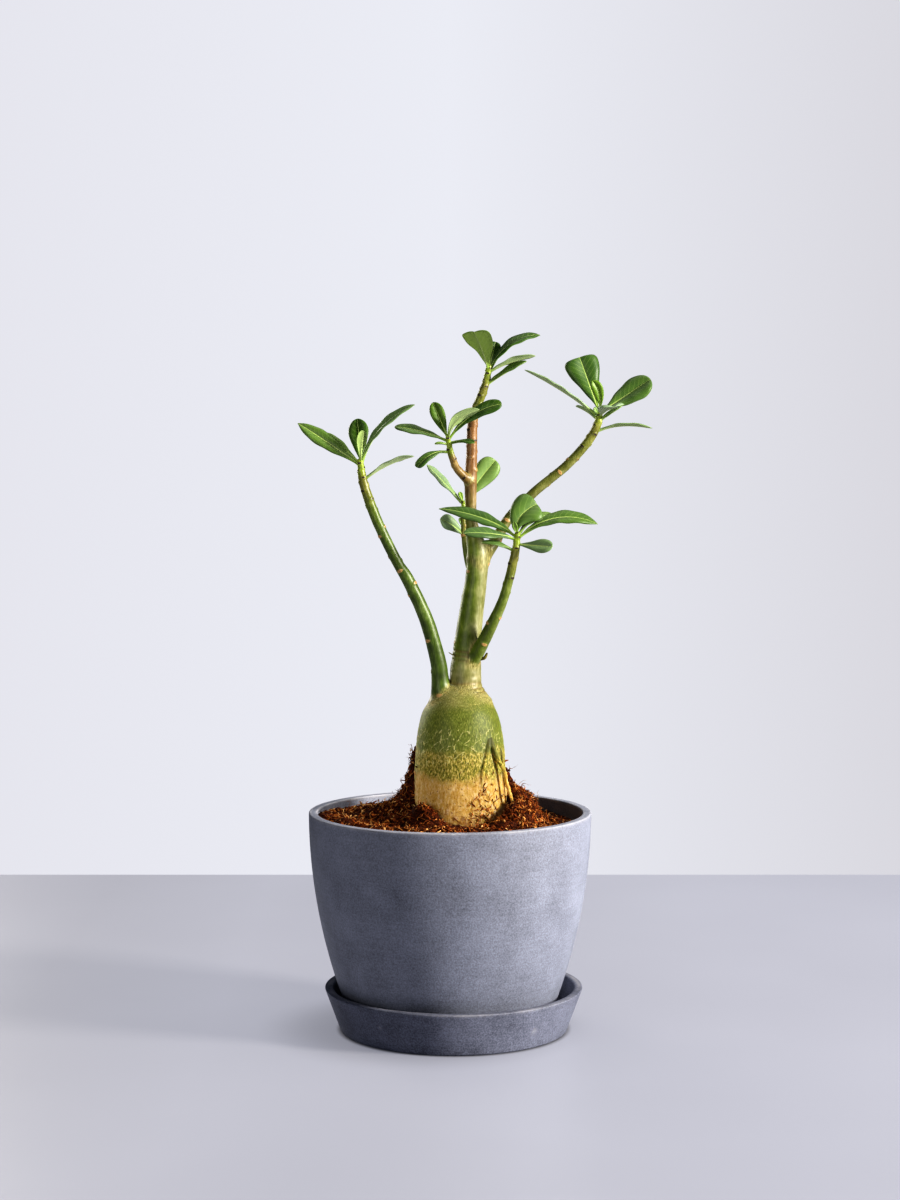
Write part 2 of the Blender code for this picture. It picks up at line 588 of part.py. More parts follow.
def leaf_object(leaf, base):
    """A thin blade, folded a little along its rib, whose two faces are split into the same triangles."""
    shape = bmesh.new()
    rows = []
    fold = math.radians(leaf.fold)
    for share in LEAF_STATIONS:
        place, side, up = leaf_frame(leaf, base, share)
        half = leaf_width(leaf, share) / 2
        spread = half * (math.cos(fold) * side)
        lift = half * math.sin(fold) * up
        rib = (RIB_THICKNESS + (EDGE_THICKNESS - RIB_THICKNESS) * share) / 2 * up
        edge = EDGE_THICKNESS / 2 * up
        if share == 0:
            rib = edge = PETIOLE_WIDTH / 2 * up
        over = [place - spread + lift + edge, place + rib, place + spread + lift + edge]
        under = [place - spread + lift - edge, place - rib, place + spread + lift - edge]
        rows.append([[shape.verts.new(p) for p in over], [shape.verts.new(p) for p in under]])
    for (over, under), (next_over, next_under) in zip(rows, rows[1:], strict=False):
        for low, high in ((over, next_over), (under, next_under)):
            shape.faces.new((low[0], low[1], high[0]))
            shape.faces.new((low[1], high[1], high[0]))
            shape.faces.new((low[1], low[2], high[2]))
            shape.faces.new((low[1], high[2], high[1]))
        for k in (0, 2):
            shape.faces.new((over[k], next_over[k], next_under[k]))
            shape.faces.new((over[k], next_under[k], under[k]))
    for over, under in (rows[0], rows[-1]):
        shape.faces.new((*over, *reversed(under)))
    return add_object("blade", shape, "leaf")


def make_head(name, stem):
    """The green growing end of a stem with its leaves, as one body."""
    length = stem_length(stem.points)
    shoot = along(stem.points, SHOOT_SPACING, start=length - stem.green_end, stop=length)
    tip, tip_radius = shoot[-1]
    heading = (tip - shoot[-2][0]).normalized()
    rings = tube_rings(shoot, STEM_SIDES)
    head = add_object(HEAD_NAMES[name], loft(rings, end=tip + heading * tip_radius), "leaf")
    blades = []
    for leaf in LEAVES[name]:
        base, _ = along(stem.points, SHOOT_SPACING, stop=length - leaf.down * MM)[-1]
        blades.append(leaf_object(leaf, base))
    fuse(head, blades)
    return head


# ---------------------------------------------------------------- the whole
def main():
    for old in list(bpy.data.objects):
        bpy.data.objects.remove(old)
    make_saucer()
    make_pot()
    make_soil()
    make_caudex()
    for name, stem in STEMS.items():
        make_stem(name, stem)
        make_head(name, stem)


main()
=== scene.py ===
# %% [markdown]
# # A desert rose in a blue-grey pot
# A young adenium stands in a tapered round pot on a shallow saucer. This lesson dresses its plain CAD model:
# every node is replaced by a finer piece of the same form, with a material of its own. What repeats or follows
# a path grows in Geometry Nodes: the stems with their leaf scars, the leaves, and the coir in the soil.

# %% The fixed frame
import math
import random
from collections import namedtuple
from functools import partial

import bmesh
import bpy
import numpy as np
from mathutils import Matrix, Vector
from mathutils.bvhtree import BVHTree


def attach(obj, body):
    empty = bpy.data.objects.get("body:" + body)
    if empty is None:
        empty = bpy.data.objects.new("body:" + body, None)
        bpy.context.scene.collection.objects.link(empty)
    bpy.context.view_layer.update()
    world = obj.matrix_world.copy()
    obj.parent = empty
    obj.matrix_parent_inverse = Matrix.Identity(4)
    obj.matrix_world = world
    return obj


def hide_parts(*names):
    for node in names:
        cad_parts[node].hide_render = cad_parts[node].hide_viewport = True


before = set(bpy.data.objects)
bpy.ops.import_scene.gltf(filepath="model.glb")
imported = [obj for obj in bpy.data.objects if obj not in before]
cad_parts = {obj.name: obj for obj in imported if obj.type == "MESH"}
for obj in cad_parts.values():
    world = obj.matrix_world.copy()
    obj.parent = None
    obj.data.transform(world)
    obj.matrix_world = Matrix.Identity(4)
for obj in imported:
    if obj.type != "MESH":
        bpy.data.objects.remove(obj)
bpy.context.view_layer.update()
MM = 0.001

# %% [markdown]
# ## Helpers
# A colour is picked on a screen as a hex code, but Blender mixes light in linear values, so one function turns
# the one into the other. Another function adds any node, with its settings and what goes into its inputs. It
# gives back the node's output, so that one line can feed the next.

# %% Colours and nodes
KINDS = {  # plain words for the nodes that come up often
    "math": "ShaderNodeMath", "vector": "ShaderNodeVectorMath", "range": "ShaderNodeMapRange",
    "noise": "ShaderNodeTexNoise", "mix": "ShaderNodeMix", "ramp": "ShaderNodeValToRGB", "bump": "ShaderNodeBump",
    "split": "ShaderNodeSeparateXYZ", "combine": "ShaderNodeCombineXYZ", "mapping": "ShaderNodeMapping",
    "attribute": "ShaderNodeAttribute", "column": "GeometryNodeInputNamedAttribute",
    "store": "GeometryNodeStoreNamedAttribute", "random": "FunctionNodeRandomValue",
    "position": "GeometryNodeInputPosition", "move": "GeometryNodeSetPosition",
    "realize": "GeometryNodeRealizeInstances", "smooth": "GeometryNodeSetShadeSmooth",
    "paint": "GeometryNodeSetMaterial",
}


def from_hex(code):
    """The linear colour of a six-digit sRGB hex code."""
    channels = [int(code[k:k + 2], 16) / 255 for k in (0, 2, 4)]
    return (*[c / 12.92 if c <= 0.04045 else ((c + 0.055) / 1.055) ** 2.4 for c in channels], 1)


def add_node(tree, kind, *values, stops=(), out=None, **named):
    """One node of the tree, by its word or Blender's name for it, which may be followed by its operation.

    Values go to the inputs in use, in order: numbers, hex colours, or outputs of other nodes. A named value is an
    input's if its name starts with a capital, and else a setting. What comes back is one output: the one named by
    out, or the first in use.
    """
    word, _, operation = kind.partition(" ")
    node = tree.nodes.new(KINDS.get(word, word))
    if operation:
        node.operation = operation.upper()
    if word == "mix":
        node.data_type = "RGBA"
    for name, value in named.items():
        if name[0].islower():
            setattr(node, name, value)
    used = [socket for socket in node.inputs if socket.enabled]
    by_name = {socket.name.replace(" ", "_"): socket for socket in used}
    for socket, value in [*zip(used, values), *((by_name[k], v) for k, v in named.items() if k[0].isupper())]:
        if isinstance(value, bpy.types.NodeSocket):
            tree.links.new(value, socket)
        else:
            socket.default_value = from_hex(value) if socket.type == "RGBA" else value
    for k, (place, code) in enumerate(stops):
        stop = node.color_ramp.elements[k] if k < 2 else node.color_ramp.elements.new(place)
        stop.position, stop.color = place, from_hex(code)
    return node.outputs[out] if out else next((socket for socket in node.outputs if socket.enabled), None)


def new_material(name, **values):
    """A material, its Principled shader with these values, a function to add its nodes, and Object coordinates."""
    made = bpy.data.materials.new(name)
    made.use_nodes = True
    shader = made.node_tree.nodes["Principled BSDF"]
    for label, value in values.items():
        shader.inputs[label.replace("_", " ")].default_value = value
    add = partial(add_node, made.node_tree)
    return made, shader, add, add("ShaderNodeTexCoord", out="Object")


def plug(shader, **outputs):
    """Links outputs to the shader's inputs of these names."""
    for label, output in outputs.items():
        shader.id_data.links.new(output, shader.inputs[label.replace("_", " ")])


# %% [markdown]
# ## Growing with Geometry Nodes
# A tree gets named inputs, so that one tree serves several pieces with different sizes. The modifier is set by
# each socket's identifier, and then its result is kept as a plain mesh, so that the piece no longer needs it.


# %% Trees and their results
def new_tree(name, inputs):
    """A Geometry Nodes tree, a function to add its nodes, and its named inputs with their defaults."""
    tree = bpy.data.node_groups.new(name, "GeometryNodeTree")
    tree.interface.new_socket("Geometry", in_out="INPUT", socket_type="NodeSocketGeometry")
    for label, value in inputs.items():
        kind = {int: "Int", float: "Float", type(None): "Material"}[type(value)]
        socket = tree.interface.new_socket(label, in_out="INPUT", socket_type="NodeSocket" + kind)
        if value is not None:
            socket.default_value = value
    tree.interface.new_socket("Geometry", in_out="OUTPUT", socket_type="NodeSocketGeometry")
    return tree, partial(add_node, tree), tree.nodes.new("NodeGroupInput").outputs


def end_tree(add, shape, finish=None):
    """The last nodes of a tree: real, smooth faces in their material, handed to the group's output."""
    shape = add("smooth", add("realize", shape))
    if finish:
        shape = add("paint", shape, Material=finish)
    add("NodeGroupOutput", shape)
    tree = shape.id_data
    print("The tree", tree.name, "has", len(tree.nodes), "nodes and", len(tree.links), "links")


def grow(piece, tree, values):
    """Runs a tree on a piece with these inputs, and keeps the result as the piece's plain mesh."""
    modifier = piece.modifiers.new(tree.name, "NODES")
    modifier.node_group = tree
    for item in tree.interface.items_tree:
        if item.in_out == "INPUT" and item.name in values:
            modifier[item.identifier] = values[item.name]
    graph = bpy.context.evaluated_depsgraph_get()
    grown = piece.evaluated_get(graph)
    made = bpy.data.meshes.new_from_object(grown, preserve_all_data_layers=True, depsgraph=graph)
    piece.modifiers.clear()
    piece.data = made
    print(piece.name, "has", len(made.polygons), "faces")


def add_piece(name, vertices, edges=(), faces=(), finish=None):
    """An object made from plain lists or arrays."""
    mesh = bpy.data.meshes.new(name)
    mesh.from_pydata([tuple(v) for v in vertices], edges, faces)
    if finish:
        mesh.materials.append(finish)
        mesh.shade_smooth()
    made = bpy.data.objects.new(name, mesh)
    bpy.context.scene.collection.objects.link(made)
    return made


def set_columns(piece, columns):
    """Stores a named number or vector for each vertex of a piece."""
    for label, column in columns.items():
        column = np.asarray(column, float)
        kind, slot = ("FLOAT_VECTOR", "vector") if column.ndim == 2 else ("FLOAT", "value")
        piece.data.attributes.new(label, kind, "POINT").data.foreach_set(slot, column.ravel())


# %% [markdown]
# ## Camera and studio
# The lens is a short telephoto, level with the plant's middle and tilted a little down. A soft key light
# stands to the right, low enough to leave the pot's left side in shade, and a weak one hangs overhead. A rim
# light stands behind at the left. Three fill lights stand in for what bare lamps can't give: the glow of
# living tissue in its own shade, and the light that a room's walls send back onto the soil and the pot.

# %% Camera
camera = bpy.data.objects.new("camera", bpy.data.cameras.new("camera"))
camera.data.sensor_width = 36
camera.data.lens = 70.38
camera.location = (0, -1.247, 0.3105)
camera.rotation_euler = (math.radians(90 - 3.66), 0, 0)
bpy.context.scene.collection.objects.link(camera)
bpy.context.scene.camera = camera

# %% Lights
STUDIO = [  # name, place, width, watts
    ("key", (1.68, -0.68, 0.78), 0.35, 70),
    ("overhead", (0.1, 0.1, 1.9), 1.6, 14),
    ("rim", (-1.0, 1.24, 0.6), 0.8, 12),
    ("leaf_fill", (-0.8, -1.5, 0.45), 1.0, 10),
    ("soil_fill", (0.75, 0.3, 0.85), 0.5, 10),
    ("pot_fill", (-1.1, -0.9, 0.4), 0.6, 3),
]
AIM = Vector((0, 0, 0.16))
lamps = {}
for name, place, width, watts in STUDIO:
    lamp = bpy.data.lights.new(name, "AREA")
    lamp.size = width
    lamp.energy = watts
    lamp.color = from_hex("fff9ef")[:3]
    holder = bpy.data.objects.new(name, lamp)
    holder.location = place
    holder.rotation_euler = (AIM - Vector(place)).to_track_quat("-Z", "Y").to_euler()
    holder.visible_camera = False
    lamps[name] = holder
    bpy.context.scene.collection.objects.link(holder)
print(len(lamps), "lamps,", sum(watts for *_, watts in STUDIO), "watts in all")

# %% The room: a faint blue light all round, and a pale wall that only the camera sees
world = bpy.data.worlds.new("pale_room")
bpy.context.scene.world = world
world.use_nodes = True
ambient = world.node_tree.nodes["Background"]
ambient.inputs["Color"].default_value = from_hex("d6e2ff")
ambient.inputs["Strength"].default_value = 0.09
add = partial(add_node, world.node_tree)
aside = add("split", add("ShaderNodeTexCoord", out="Generated"), out="X")
aside = add("range", aside, -0.25, 0.25, 0.0, 1.0)
# painted shade on the wall: a little darker at the left, darker still at the right, lightest in the middle
wall = add("ramp", aside, stops=[(0.1, "c7c7cd"), (0.5, "cbccd2"), (0.95, "bcbbc0")])
backdrop = add("ShaderNodeBackground", wall, 1.0)
seen = add("ShaderNodeLightPath", out="Is Camera Ray")
plug(world.node_tree.nodes["World Output"], Surface=add("ShaderNodeMixShader", seen, ambient.outputs[0], backdrop))
bpy.context.scene.view_settings.view_transform = "Standard"
bpy.context.scene.view_settings.look = "High Contrast"

# %% Table top
TABLE_NEAR, TABLE_FAR, TABLE_SIDE = -1.6, 0.455, 1.5
table_paint, shader, add, where = new_material("matt_lacquer", Base_Color=from_hex("5c5c60"), Roughness=0.45)
# one soft cloud of tint is about 330 mm across
mottle = add("noise", where, Scale=3.0, Detail=3.0)
tint = add("ramp", mottle, stops=[(0.3, "a8a9b4"), (0.7, "afb0bb")])
# painted light: the table glows as a room's stray light would light it, and the glow is painted weaker beside the
# saucer, a painted shade
beside = add("vector length", add("vector subtract", where, (-0.014, 0, 0)))
painted_floor_light = add("range", beside, 0.05, 0.095, 0.5, 0.7, interpolation_type="SMOOTHSTEP")
sideways = add("split", where, out="X")
# painted light and shade: the glow is painted a little brighter to the right and darker at the far left
for start, end, least, most in ((0.02, 0.16, 0.0, 0.06), (-0.24, -0.13, -0.11, 0.0)):
    painted_floor_light = add("math add", painted_floor_light, add("range", sideways, start, end, least, most))
# painted shadow: the glow hardly reaches the line where the saucer's foot, 61 mm from its own middle, meets the
# table
from_foot = add("vector length", add("vector subtract", where, (2 * MM, 0, 0)))
painted_contact_shadow = add("range", from_foot, 60 * MM, 64 * MM, 0.2, 1.0, interpolation_type="SMOOTHSTEP")
plug(shader, Emission_Color=tint, Emission_Strength=add("math multiply", painted_floor_light, painted_contact_shadow))
corners = [(x, y, 0) for x, y in (
    (-TABLE_SIDE, TABLE_NEAR), (TABLE_SIDE, TABLE_NEAR), (TABLE_SIDE, TABLE_FAR), (-TABLE_SIDE, TABLE_FAR))]
table = add_piece("table_top", corners, faces=[(0, 1, 2, 3)], finish=table_paint)

# %% [markdown]
# ## Pot and saucer
# Both are moulded from recycled plastic filled with stone powder. It is matt and mottled blue-grey, with faint
# streaks along the mould's flow, fine pale specks, and edges rubbed paler. Each piece is an outline spun about
# the axis, which keeps the wall's thickness and every small round exact.

# %% Sizes shared with the CAD
POT_RIM_RADIUS = 75.5 * MM
POT_RIM_Z = 117.5 * MM
POT_TAPER = 22.4 * MM
POT_WALL = 4.6 * MM
POT_FLOOR = 5 * MM
POT_FOOT_Z = 4.8 * MM
DRAIN_RADIUS = 6 * MM
SAUCER_RIM_RADIUS = 69.3 * MM
SAUCER_FOOT_RADIUS = 60.8 * MM
SAUCER_HEIGHT = 23.2 * MM
SAUCER_WALL = 4.6 * MM
SAUCER_FLOOR = 4.5 * MM
SAUCER_SHIFT = 2 * MM


# %% The stone-filled plastic
def stone_plastic(name, dark, light, edges, scuffs=()):
    """Edges are (radius, height) circles whose corner is rubbed pale, scuffs are (place, size) rubbed patches."""
    made, shader, add, where = new_material(name, Roughness=0.62, IOR=1.5)
    x, y, z = add("split", where).node.outputs
    # clouds 20 mm across, flow streaks 1.5 mm high, and specks of 0.9 mm, drawn coarse enough to show
    clouds = add("noise", where, Scale=50.0, Detail=4.0, Roughness=0.6)
    streaks = add("noise", add("mapping", where, Scale=(45, 45, 650)), Scale=1.0, Detail=3.0, Roughness=0.65)
    specks = add("noise", where, Scale=1150.0, Detail=2.0, Roughness=0.7)
    mixed = add("math multiply", clouds, 0.34)
    mixed = add("math multiply_add", streaks, 0.14, mixed)
    mixed = add("math multiply_add", specks, 0.62, mixed)
    body = add("ramp", mixed, stops=[(0.38, dark), (0.72, light)])
    radius = add("vector length", add("combine", x, y))
    worn = None
    for ring_radius, ring_z in edges:
        off = add("combine", add("math subtract", radius, ring_radius), add("math subtract", z, ring_z))
        near = add("range", add("vector length", off), 0.3 * MM, 1.8 * MM, 1.0, 0.0)
        worn = add("math maximum", near, worn) if worn else near
    worn = add("math multiply", worn, add("range", clouds, 0.35, 0.62, 0.05, 0.5))
    for place, size in scuffs:
        away = add("vector length", add("vector subtract", where, place))
        frayed = add("math multiply_add", specks, 4 * size, away)
        worn = add("math maximum", add("range", frayed, 1.8 * size, 2.8 * size, 0.6, 0.0), worn)
    plug(shader, Base_Color=add("mix", worn, body, "a3a2a6"), Roughness=add("range", specks, 0.3, 0.7, 0.55, 0.72),
         Normal=add("bump", Height=specks, Strength=0.5, Distance=0.2 * MM))
    return made


pot_plastic = stone_plastic("stone_filled_plastic", "5a5d69", "868b9b",
                            [(POT_RIM_RADIUS, POT_RIM_Z), (POT_RIM_RADIUS - POT_WALL, POT_RIM_Z)])
saucer_rim = [(SAUCER_RIM_RADIUS, SAUCER_HEIGHT), (SAUCER_RIM_RADIUS - SAUCER_WALL, SAUCER_HEIGHT)]
SCUFFS = [((-0.036, -0.0535, 0.013), 1.6 * MM), ((0.044, -0.0496, 0.01), 2.5 * MM)]
saucer_plastic = stone_plastic("stone_filled_plastic_saucer", "3c3f4c", "7e8293", saucer_rim, SCUFFS)


# %% Outlines with rounded corners, spun
def rounded(corners, steps=5):
    """An outline through (radius, height, round) corners, each cut back and joined by a smooth bend."""
    made = []
    for k, (r, z, size) in enumerate(corners):
        here = Vector((r, z))
        if size == 0 or k in (0, len(corners) - 1):
            made.append(here)
            continue
        before, after = Vector(corners[k - 1][:2]), Vector(corners[k + 1][:2])
        start = here + (before - here).normalized() * size
        end = here + (after - here).normalized() * size
        for i in range(steps + 1):
            t = i / steps
            made.append(start * (1 - t) ** 2 + here * 2 * t * (1 - t) + end * t**2)
    return made


def spun(name, outline, finish, sides=192, closed=False):
    """The outline of (radius, height) points spun about Z, with its seam and poles closed."""
    shape = bmesh.new()
    points = [shape.verts.new((r, 0, z)) for r, z in outline]
    edges = [shape.edges.new(pair) for pair in zip(points, points[1:])]
    if closed:
        edges.append(shape.edges.new((points[-1], points[0])))
    bmesh.ops.spin(shape, geom=points + edges, cent=(0, 0, 0), axis=(0, 0, 1), angle=math.tau, steps=sides)
    bmesh.ops.remove_doubles(shape, verts=shape.verts, dist=0.001 * MM)
    bmesh.ops.recalc_face_normals(shape, faces=shape.faces)
    made = add_piece(name, [], finish=finish)
    shape.to_mesh(made.data)
    shape.free()
    made.data.shade_smooth()
    made.data.set_sharp_from_angle(angle=math.radians(50))
    print(name, "has", len(made.data.polygons), "faces")
    return made


def pot_radius(z):
    """The pot's outer radius: a parabola, upright at the rim and drawn in to the foot."""
    return POT_RIM_RADIUS - POT_TAPER * ((POT_RIM_Z - z) / (POT_RIM_Z - POT_FOOT_Z)) ** 2


# %% The pot
wall_heights = np.linspace(POT_FOOT_Z + 3 * MM, POT_RIM_Z - 1.2 * MM, 40)
inner_floor = POT_FOOT_Z + POT_FLOOR
foot_corner = [(DRAIN_RADIUS, POT_FOOT_Z, 0), (pot_radius(POT_FOOT_Z) - 0.6 * MM, POT_FOOT_Z, 2.2 * MM)]
outer_wall = [(pot_radius(z), z, 0) for z in wall_heights]
rim = [(POT_RIM_RADIUS, POT_RIM_Z, 0.8 * MM), (POT_RIM_RADIUS - POT_WALL, POT_RIM_Z, 0.8 * MM)]
inner_wall = [(pot_radius(z) - POT_WALL, z, 0) for z in wall_heights[::-1] if z > inner_floor + 2 * MM]
floor_radius = pot_radius(inner_floor) - POT_WALL - 1 * MM
floor_corner = [(floor_radius, inner_floor, 1.5 * MM), (DRAIN_RADIUS, inner_floor, 0)]
pot_outline = rounded(foot_corner + outer_wall + rim + inner_wall + floor_corner)
pot = spun("pot_body", pot_outline, pot_plastic, closed=True)
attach(pot, "root")
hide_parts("pot")

# %% The saucer
slope = (SAUCER_RIM_RADIUS - SAUCER_FOOT_RADIUS) / SAUCER_HEIGHT
inner_foot = SAUCER_FOOT_RADIUS + slope * SAUCER_FLOOR - SAUCER_WALL
saucer_outline = rounded([
    (0, 0, 0), (SAUCER_FOOT_RADIUS, 0, 1.2 * MM), (SAUCER_RIM_RADIUS, SAUCER_HEIGHT, 0.9 * MM),
    (SAUCER_RIM_RADIUS - SAUCER_WALL, SAUCER_HEIGHT, 0.9 * MM),
    (inner_foot, SAUCER_FLOOR, 2 * MM), (0, SAUCER_FLOOR, 0),
])
saucer = spun("saucer_dish", saucer_outline, saucer_plastic)
saucer.data.transform(Matrix.Translation((SAUCER_SHIFT, 0, 0)))
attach(saucer, "root")
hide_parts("saucer")

# %% [markdown]
# ## Stems
# A stem is a smooth curve through a few measured points, each with its own girth. On the real plant the bark
# carries a spiral of leaf scars, one every few millimetres and 137.5 degrees further round, because that is
# where leaves once grew. The tree makes the tube, works out where each scar falls, and lifts the bark there.

# %% Curves of the stems: points (x, y, z, radius) in millimetres, from foot to growing tip
STEMS = {
    "trunk": [
        (9.4, 1, 175.5, 12), (9, 1, 179.5, 10.3), (8.3, 1, 185.5, 8.7), (8.5, 1, 195.5, 8.1),
        (9.6, 1, 209.5, 7.1), (11.6, 2, 225.5, 6.4), (14, 2, 242.5, 5.8), (14.7, 2, 255.5, 5.7),
        (12.4, 2, 266.5, 3.9), (11.2, 2, 275.5, 2.9), (11, 2, 293.5, 3.3), (11.5, 2, 308.5, 2.9),
        (11.9, 2, 323.5, 2.7), (13.5, 2, 331.5, 2.3), (17, 2, 340, 2.2), (19.5, 2, 348, 1.8),
        (20.7, 2, 354.5, 1.3),
    ],
    "branch_left": [
        (-4, -2.5, 174.5, 6.6), (-4.8, -3, 182.5, 5.3), (-5.3, -3, 189.5, 4.6), (-6.6, -4, 199.5, 4.2),
        (-12.5, -6, 220.5, 3.7), (-22, -8, 241.5, 3.3), (-28.5, -9, 252.5, 2.8), (-38.5, -11, 273.5, 2.7),
        (-45.3, -12, 292.5, 2.4), (-47.2, -12, 304.5, 1.5),
    ],
    "branch_low_right": [
        (9, -1, 194.5, 4), (14, -5, 202.5, 3.8), (17.5, -8, 209, 3.4), (23.5, -12, 221.5, 2.9),
        (28.8, -15, 234.5, 2.5), (34, -17, 255.5, 2.2), (35.4, -17, 266.5, 1.4),
    ],
    "branch_high_right": [
        (13, 2, 249.5, 4.6), (18, 5, 255, 4.5), (23.5, 7.5, 261, 3.1), (32, 12, 274.5, 2.7),
        (45.5, 16, 288, 2.5), (62, 18, 301.5, 2.4), (73.5, 18, 314, 2.4), (79, 18, 323.5, 2.2),
        (80.8, 18, 332.5, 1.3),
    ],
    "shoot_upper_left": [
        (10, 0.5, 294, 2.6), (6.5, -2, 297.5, 2.2), (3.7, -4, 300.5, 2.0), (1.5, -6, 305.5, 1.8),
        (0, -7, 310.5, 1.6), (-1.2, -8, 317.5, 1.0),
    ],
    "twig_rear": [
        (13.5, 4, 240.5, 1.9), (10.2, 9.5, 248.5, 1.8), (8.2, 11.5, 258.5, 1.6), (7.3, 12, 270.5, 1.4),
        (7, 12, 282.5, 0.9),
    ],
}


def smooth_through(points, steps):
    """Points on the Catmull-Rom curve through points, with so many steps to each stretch."""
    full = [[2 * a - b for a, b in zip(points[0], points[1])], *points]
    full.append([2 * a - b for a, b in zip(points[-1], points[-2])])
    curve = []
    for quad in zip(full, full[1:], full[2:], full[3:]):
        for t in np.arange(steps) / steps:
            weights = (-t + 2 * t**2 - t**3, 2 - 5 * t**2 + 3 * t**3, t + 4 * t**2 - 3 * t**3, t**3 - t**2)
            curve.append([0.5 * sum(w * v for w, v in zip(weights, values)) for values in zip(*quad)])
    return np.array([*curve, points[-1]])


def travelled(places):
    """The distance gone along a row of places, at each of them."""
    return np.concatenate([[0], np.cumsum(np.linalg.norm(np.diff(places, axis=0), axis=1))])


def measured(points, steps=12):
    """Places in metres, girths in metres, and the distance travelled at each, on a stem's smooth curve."""
    curve = smooth_through(points, steps) * MM
    return curve[:, :3], curve[:, 3], travelled(curve[:, :3])


def eased(value, start, end):
    """0 before start, 1 after end, and smooth between. Start may be the larger."""
    share = np.clip((np.asarray(value, float) - start) / (end - start), 0, 1)
    return share * share * (3 - 2 * share)


# %% The tree that makes a stem
stem_tree, add, given = new_tree("stem_with_scars", {
    "Sides": 40, "Ring Spacing": 0.44 * MM, "Scar Spacing": 4.6 * MM, "Scar Turn": math.radians(137.5),
    "Tip Crowding": 1.8, "Scar Width": 2.8 * MM, "Scar Length": 1.5 * MM, "Scar Height": 0.32 * MM,
    "Lump Size": 7 * MM, "Lump Height": 0.35 * MM, "Wrinkle Height": 0.1 * MM, "Crease Depth": 0.35 * MM,
    "Bark": None,
})
girth = add("column", "girth")
path = add("GeometryNodeMeshToCurve", given["Geometry"])
path = add("GeometryNodeSetCurveNormal", path, mode="MINIMUM_TWIST")
path = add("GeometryNodeResampleCurve", path, Length=given["Ring Spacing"], mode="LENGTH")
ring = add("GeometryNodeCurvePrimitiveCircle", given["Sides"], 1.0)
tube = add("GeometryNodeCurveToMesh", path, ring, girth, True)

# %% Where the scars fall: points on a spiral
length = add("GeometryNodeCurveLength", path)
many = add("math divide", length, given["Scar Spacing"])
scars = add("GeometryNodePoints", many)
order = add("GeometryNodeInputIndex")
# leaves sit closer together near a growing tip, so the steps shrink on the way there
ahead = add("math subtract", 1.0, add("math divide", order, many), use_clamp=True)
ahead = add("math power", ahead, given["Tip Crowding"])
gone = add("math multiply", add("math subtract", 1.0, ahead), length)
middle = add("GeometryNodeSampleCurve", path, girth, gone, mode="LENGTH")
around = add("math multiply", order, given["Scar Turn"])
tangent, normal, position = (middle.node.outputs[k] for k in ("Tangent", "Normal", "Position"))
outward = add("ShaderNodeVectorRotate", normal, Axis=tangent, Angle=around)
surface = add("vector add", add("vector scale", outward, middle), position)
scars = add("move", scars, Position=surface)
# old scars heal over, so only a share of them is left where the stem is marked less
marked = add("GeometryNodeSampleCurve", path, add("column", "marked"), gone, mode="LENGTH")
healed = add("math greater_than", add("random", 0.0, 1.0, Seed=4), marked)
scars = add("store", scars, Name="heading", Value=tangent, data_type="FLOAT_VECTOR")
scars = add("GeometryNodeDeleteGeometry", scars, healed, domain="POINT")

# %% How far each point of the bark is from its nearest scar
spot = add("position")
nearest = add("GeometryNodeSampleNearest", scars)
scar_place, heading = (add("GeometryNodeSampleIndex", scars, value, nearest, data_type="FLOAT_VECTOR")
                       for value in (spot, add("column", "heading", data_type="FLOAT_VECTOR")))
away = add("vector subtract", spot, scar_place)
up = add("vector dot_product", away, heading)
across = add("vector length", add("vector subtract", away, add("vector scale", heading, up)))
wide = add("math divide", across, given["Scar Width"])
tall = add("math divide", up, given["Scar Length"])
reach = add("vector length", add("vector scale", add("combine", wide, tall), 2.0))

# %% Lifting the bark
pad = add("range", reach, 0.7, 1.9, 1.0, 0.0, interpolation_type="SMOOTHSTEP")
dent = add("range", reach, 0.2, 0.8, 0.55, 0.0, interpolation_type="SMOOTHSTEP")
lift = add("math multiply", add("math subtract", pad, dent), given["Scar Height"])
lumps = add("noise", Scale=add("math divide", 1.0, given["Lump Size"]), Detail=2.0)
lift = add("math multiply_add", add("math subtract", lumps, 0.5), given["Lump Height"], lift)
# wrinkles run round the stem, and are six times deeper in the old bark of the neck
bands = add("vector multiply", spot, (60, 60, 420))
wrinkles = add("math subtract", add("noise", bands, Scale=1.0, Detail=2.0), 0.5)
deepest = add("math multiply", given["Wrinkle Height"], 6.0)
depth = add("range", add("column", "pale"), 0.0, 1.0, given["Wrinkle Height"], deepest)
lift = add("math multiply_add", wrinkles, depth, lift)
sunk = add("math multiply", add("column", "crease"), given["Crease Depth"])
lift = add("math subtract", lift, sunk)
facing = add("GeometryNodeInputNormal")
# painted highlight: the side that faces the key light, at the right front, is marked here for paler bark
sunny = add("vector dot_product", facing, (0.87, -0.5, 0))
stem = tube
for label, value in (("scar", reach), ("sunny", sunny)):
    stem = add("store", stem, Name=label, Value=value)
end_tree(add, add("move", stem, Offset=add("vector scale", facing, lift)), given["Bark"])

# %% [markdown]
# ### Bark
# The bark is living and thin: green where it is young, brown and corky on the oldest shaded stretch, beige and
# wrinkled at the neck. It is satin, with fine streaks along the stem. A leaf scar is a tan pad with a dark dot,
# and near the growing tips the scars are fresh and almost black.


# %% The bark's material
def with_joint(add, painted, clouds, streaks, share=1.0):
    """Mixes in the cracked, pale skin of the joints, where the joint column says that two pieces meet."""
    joint = add("math multiply", add("attribute", attribute_name="joint", out="Fac"), share)
    joint = add("math multiply_add", clouds, 1.2, joint)
    joint = add("range", joint, 0.85, 1.45, 0.0, 0.9)
    pale = add("ramp", streaks, stops=[(0.36, "5c5522"), (0.5, "86804a"), (0.62, "a89f6c")])
    return add("mix", joint, painted, pale)


bark, shader, add, where = new_material("living_bark", Roughness=0.43, IOR=1.45, Sheen_Weight=0.05)
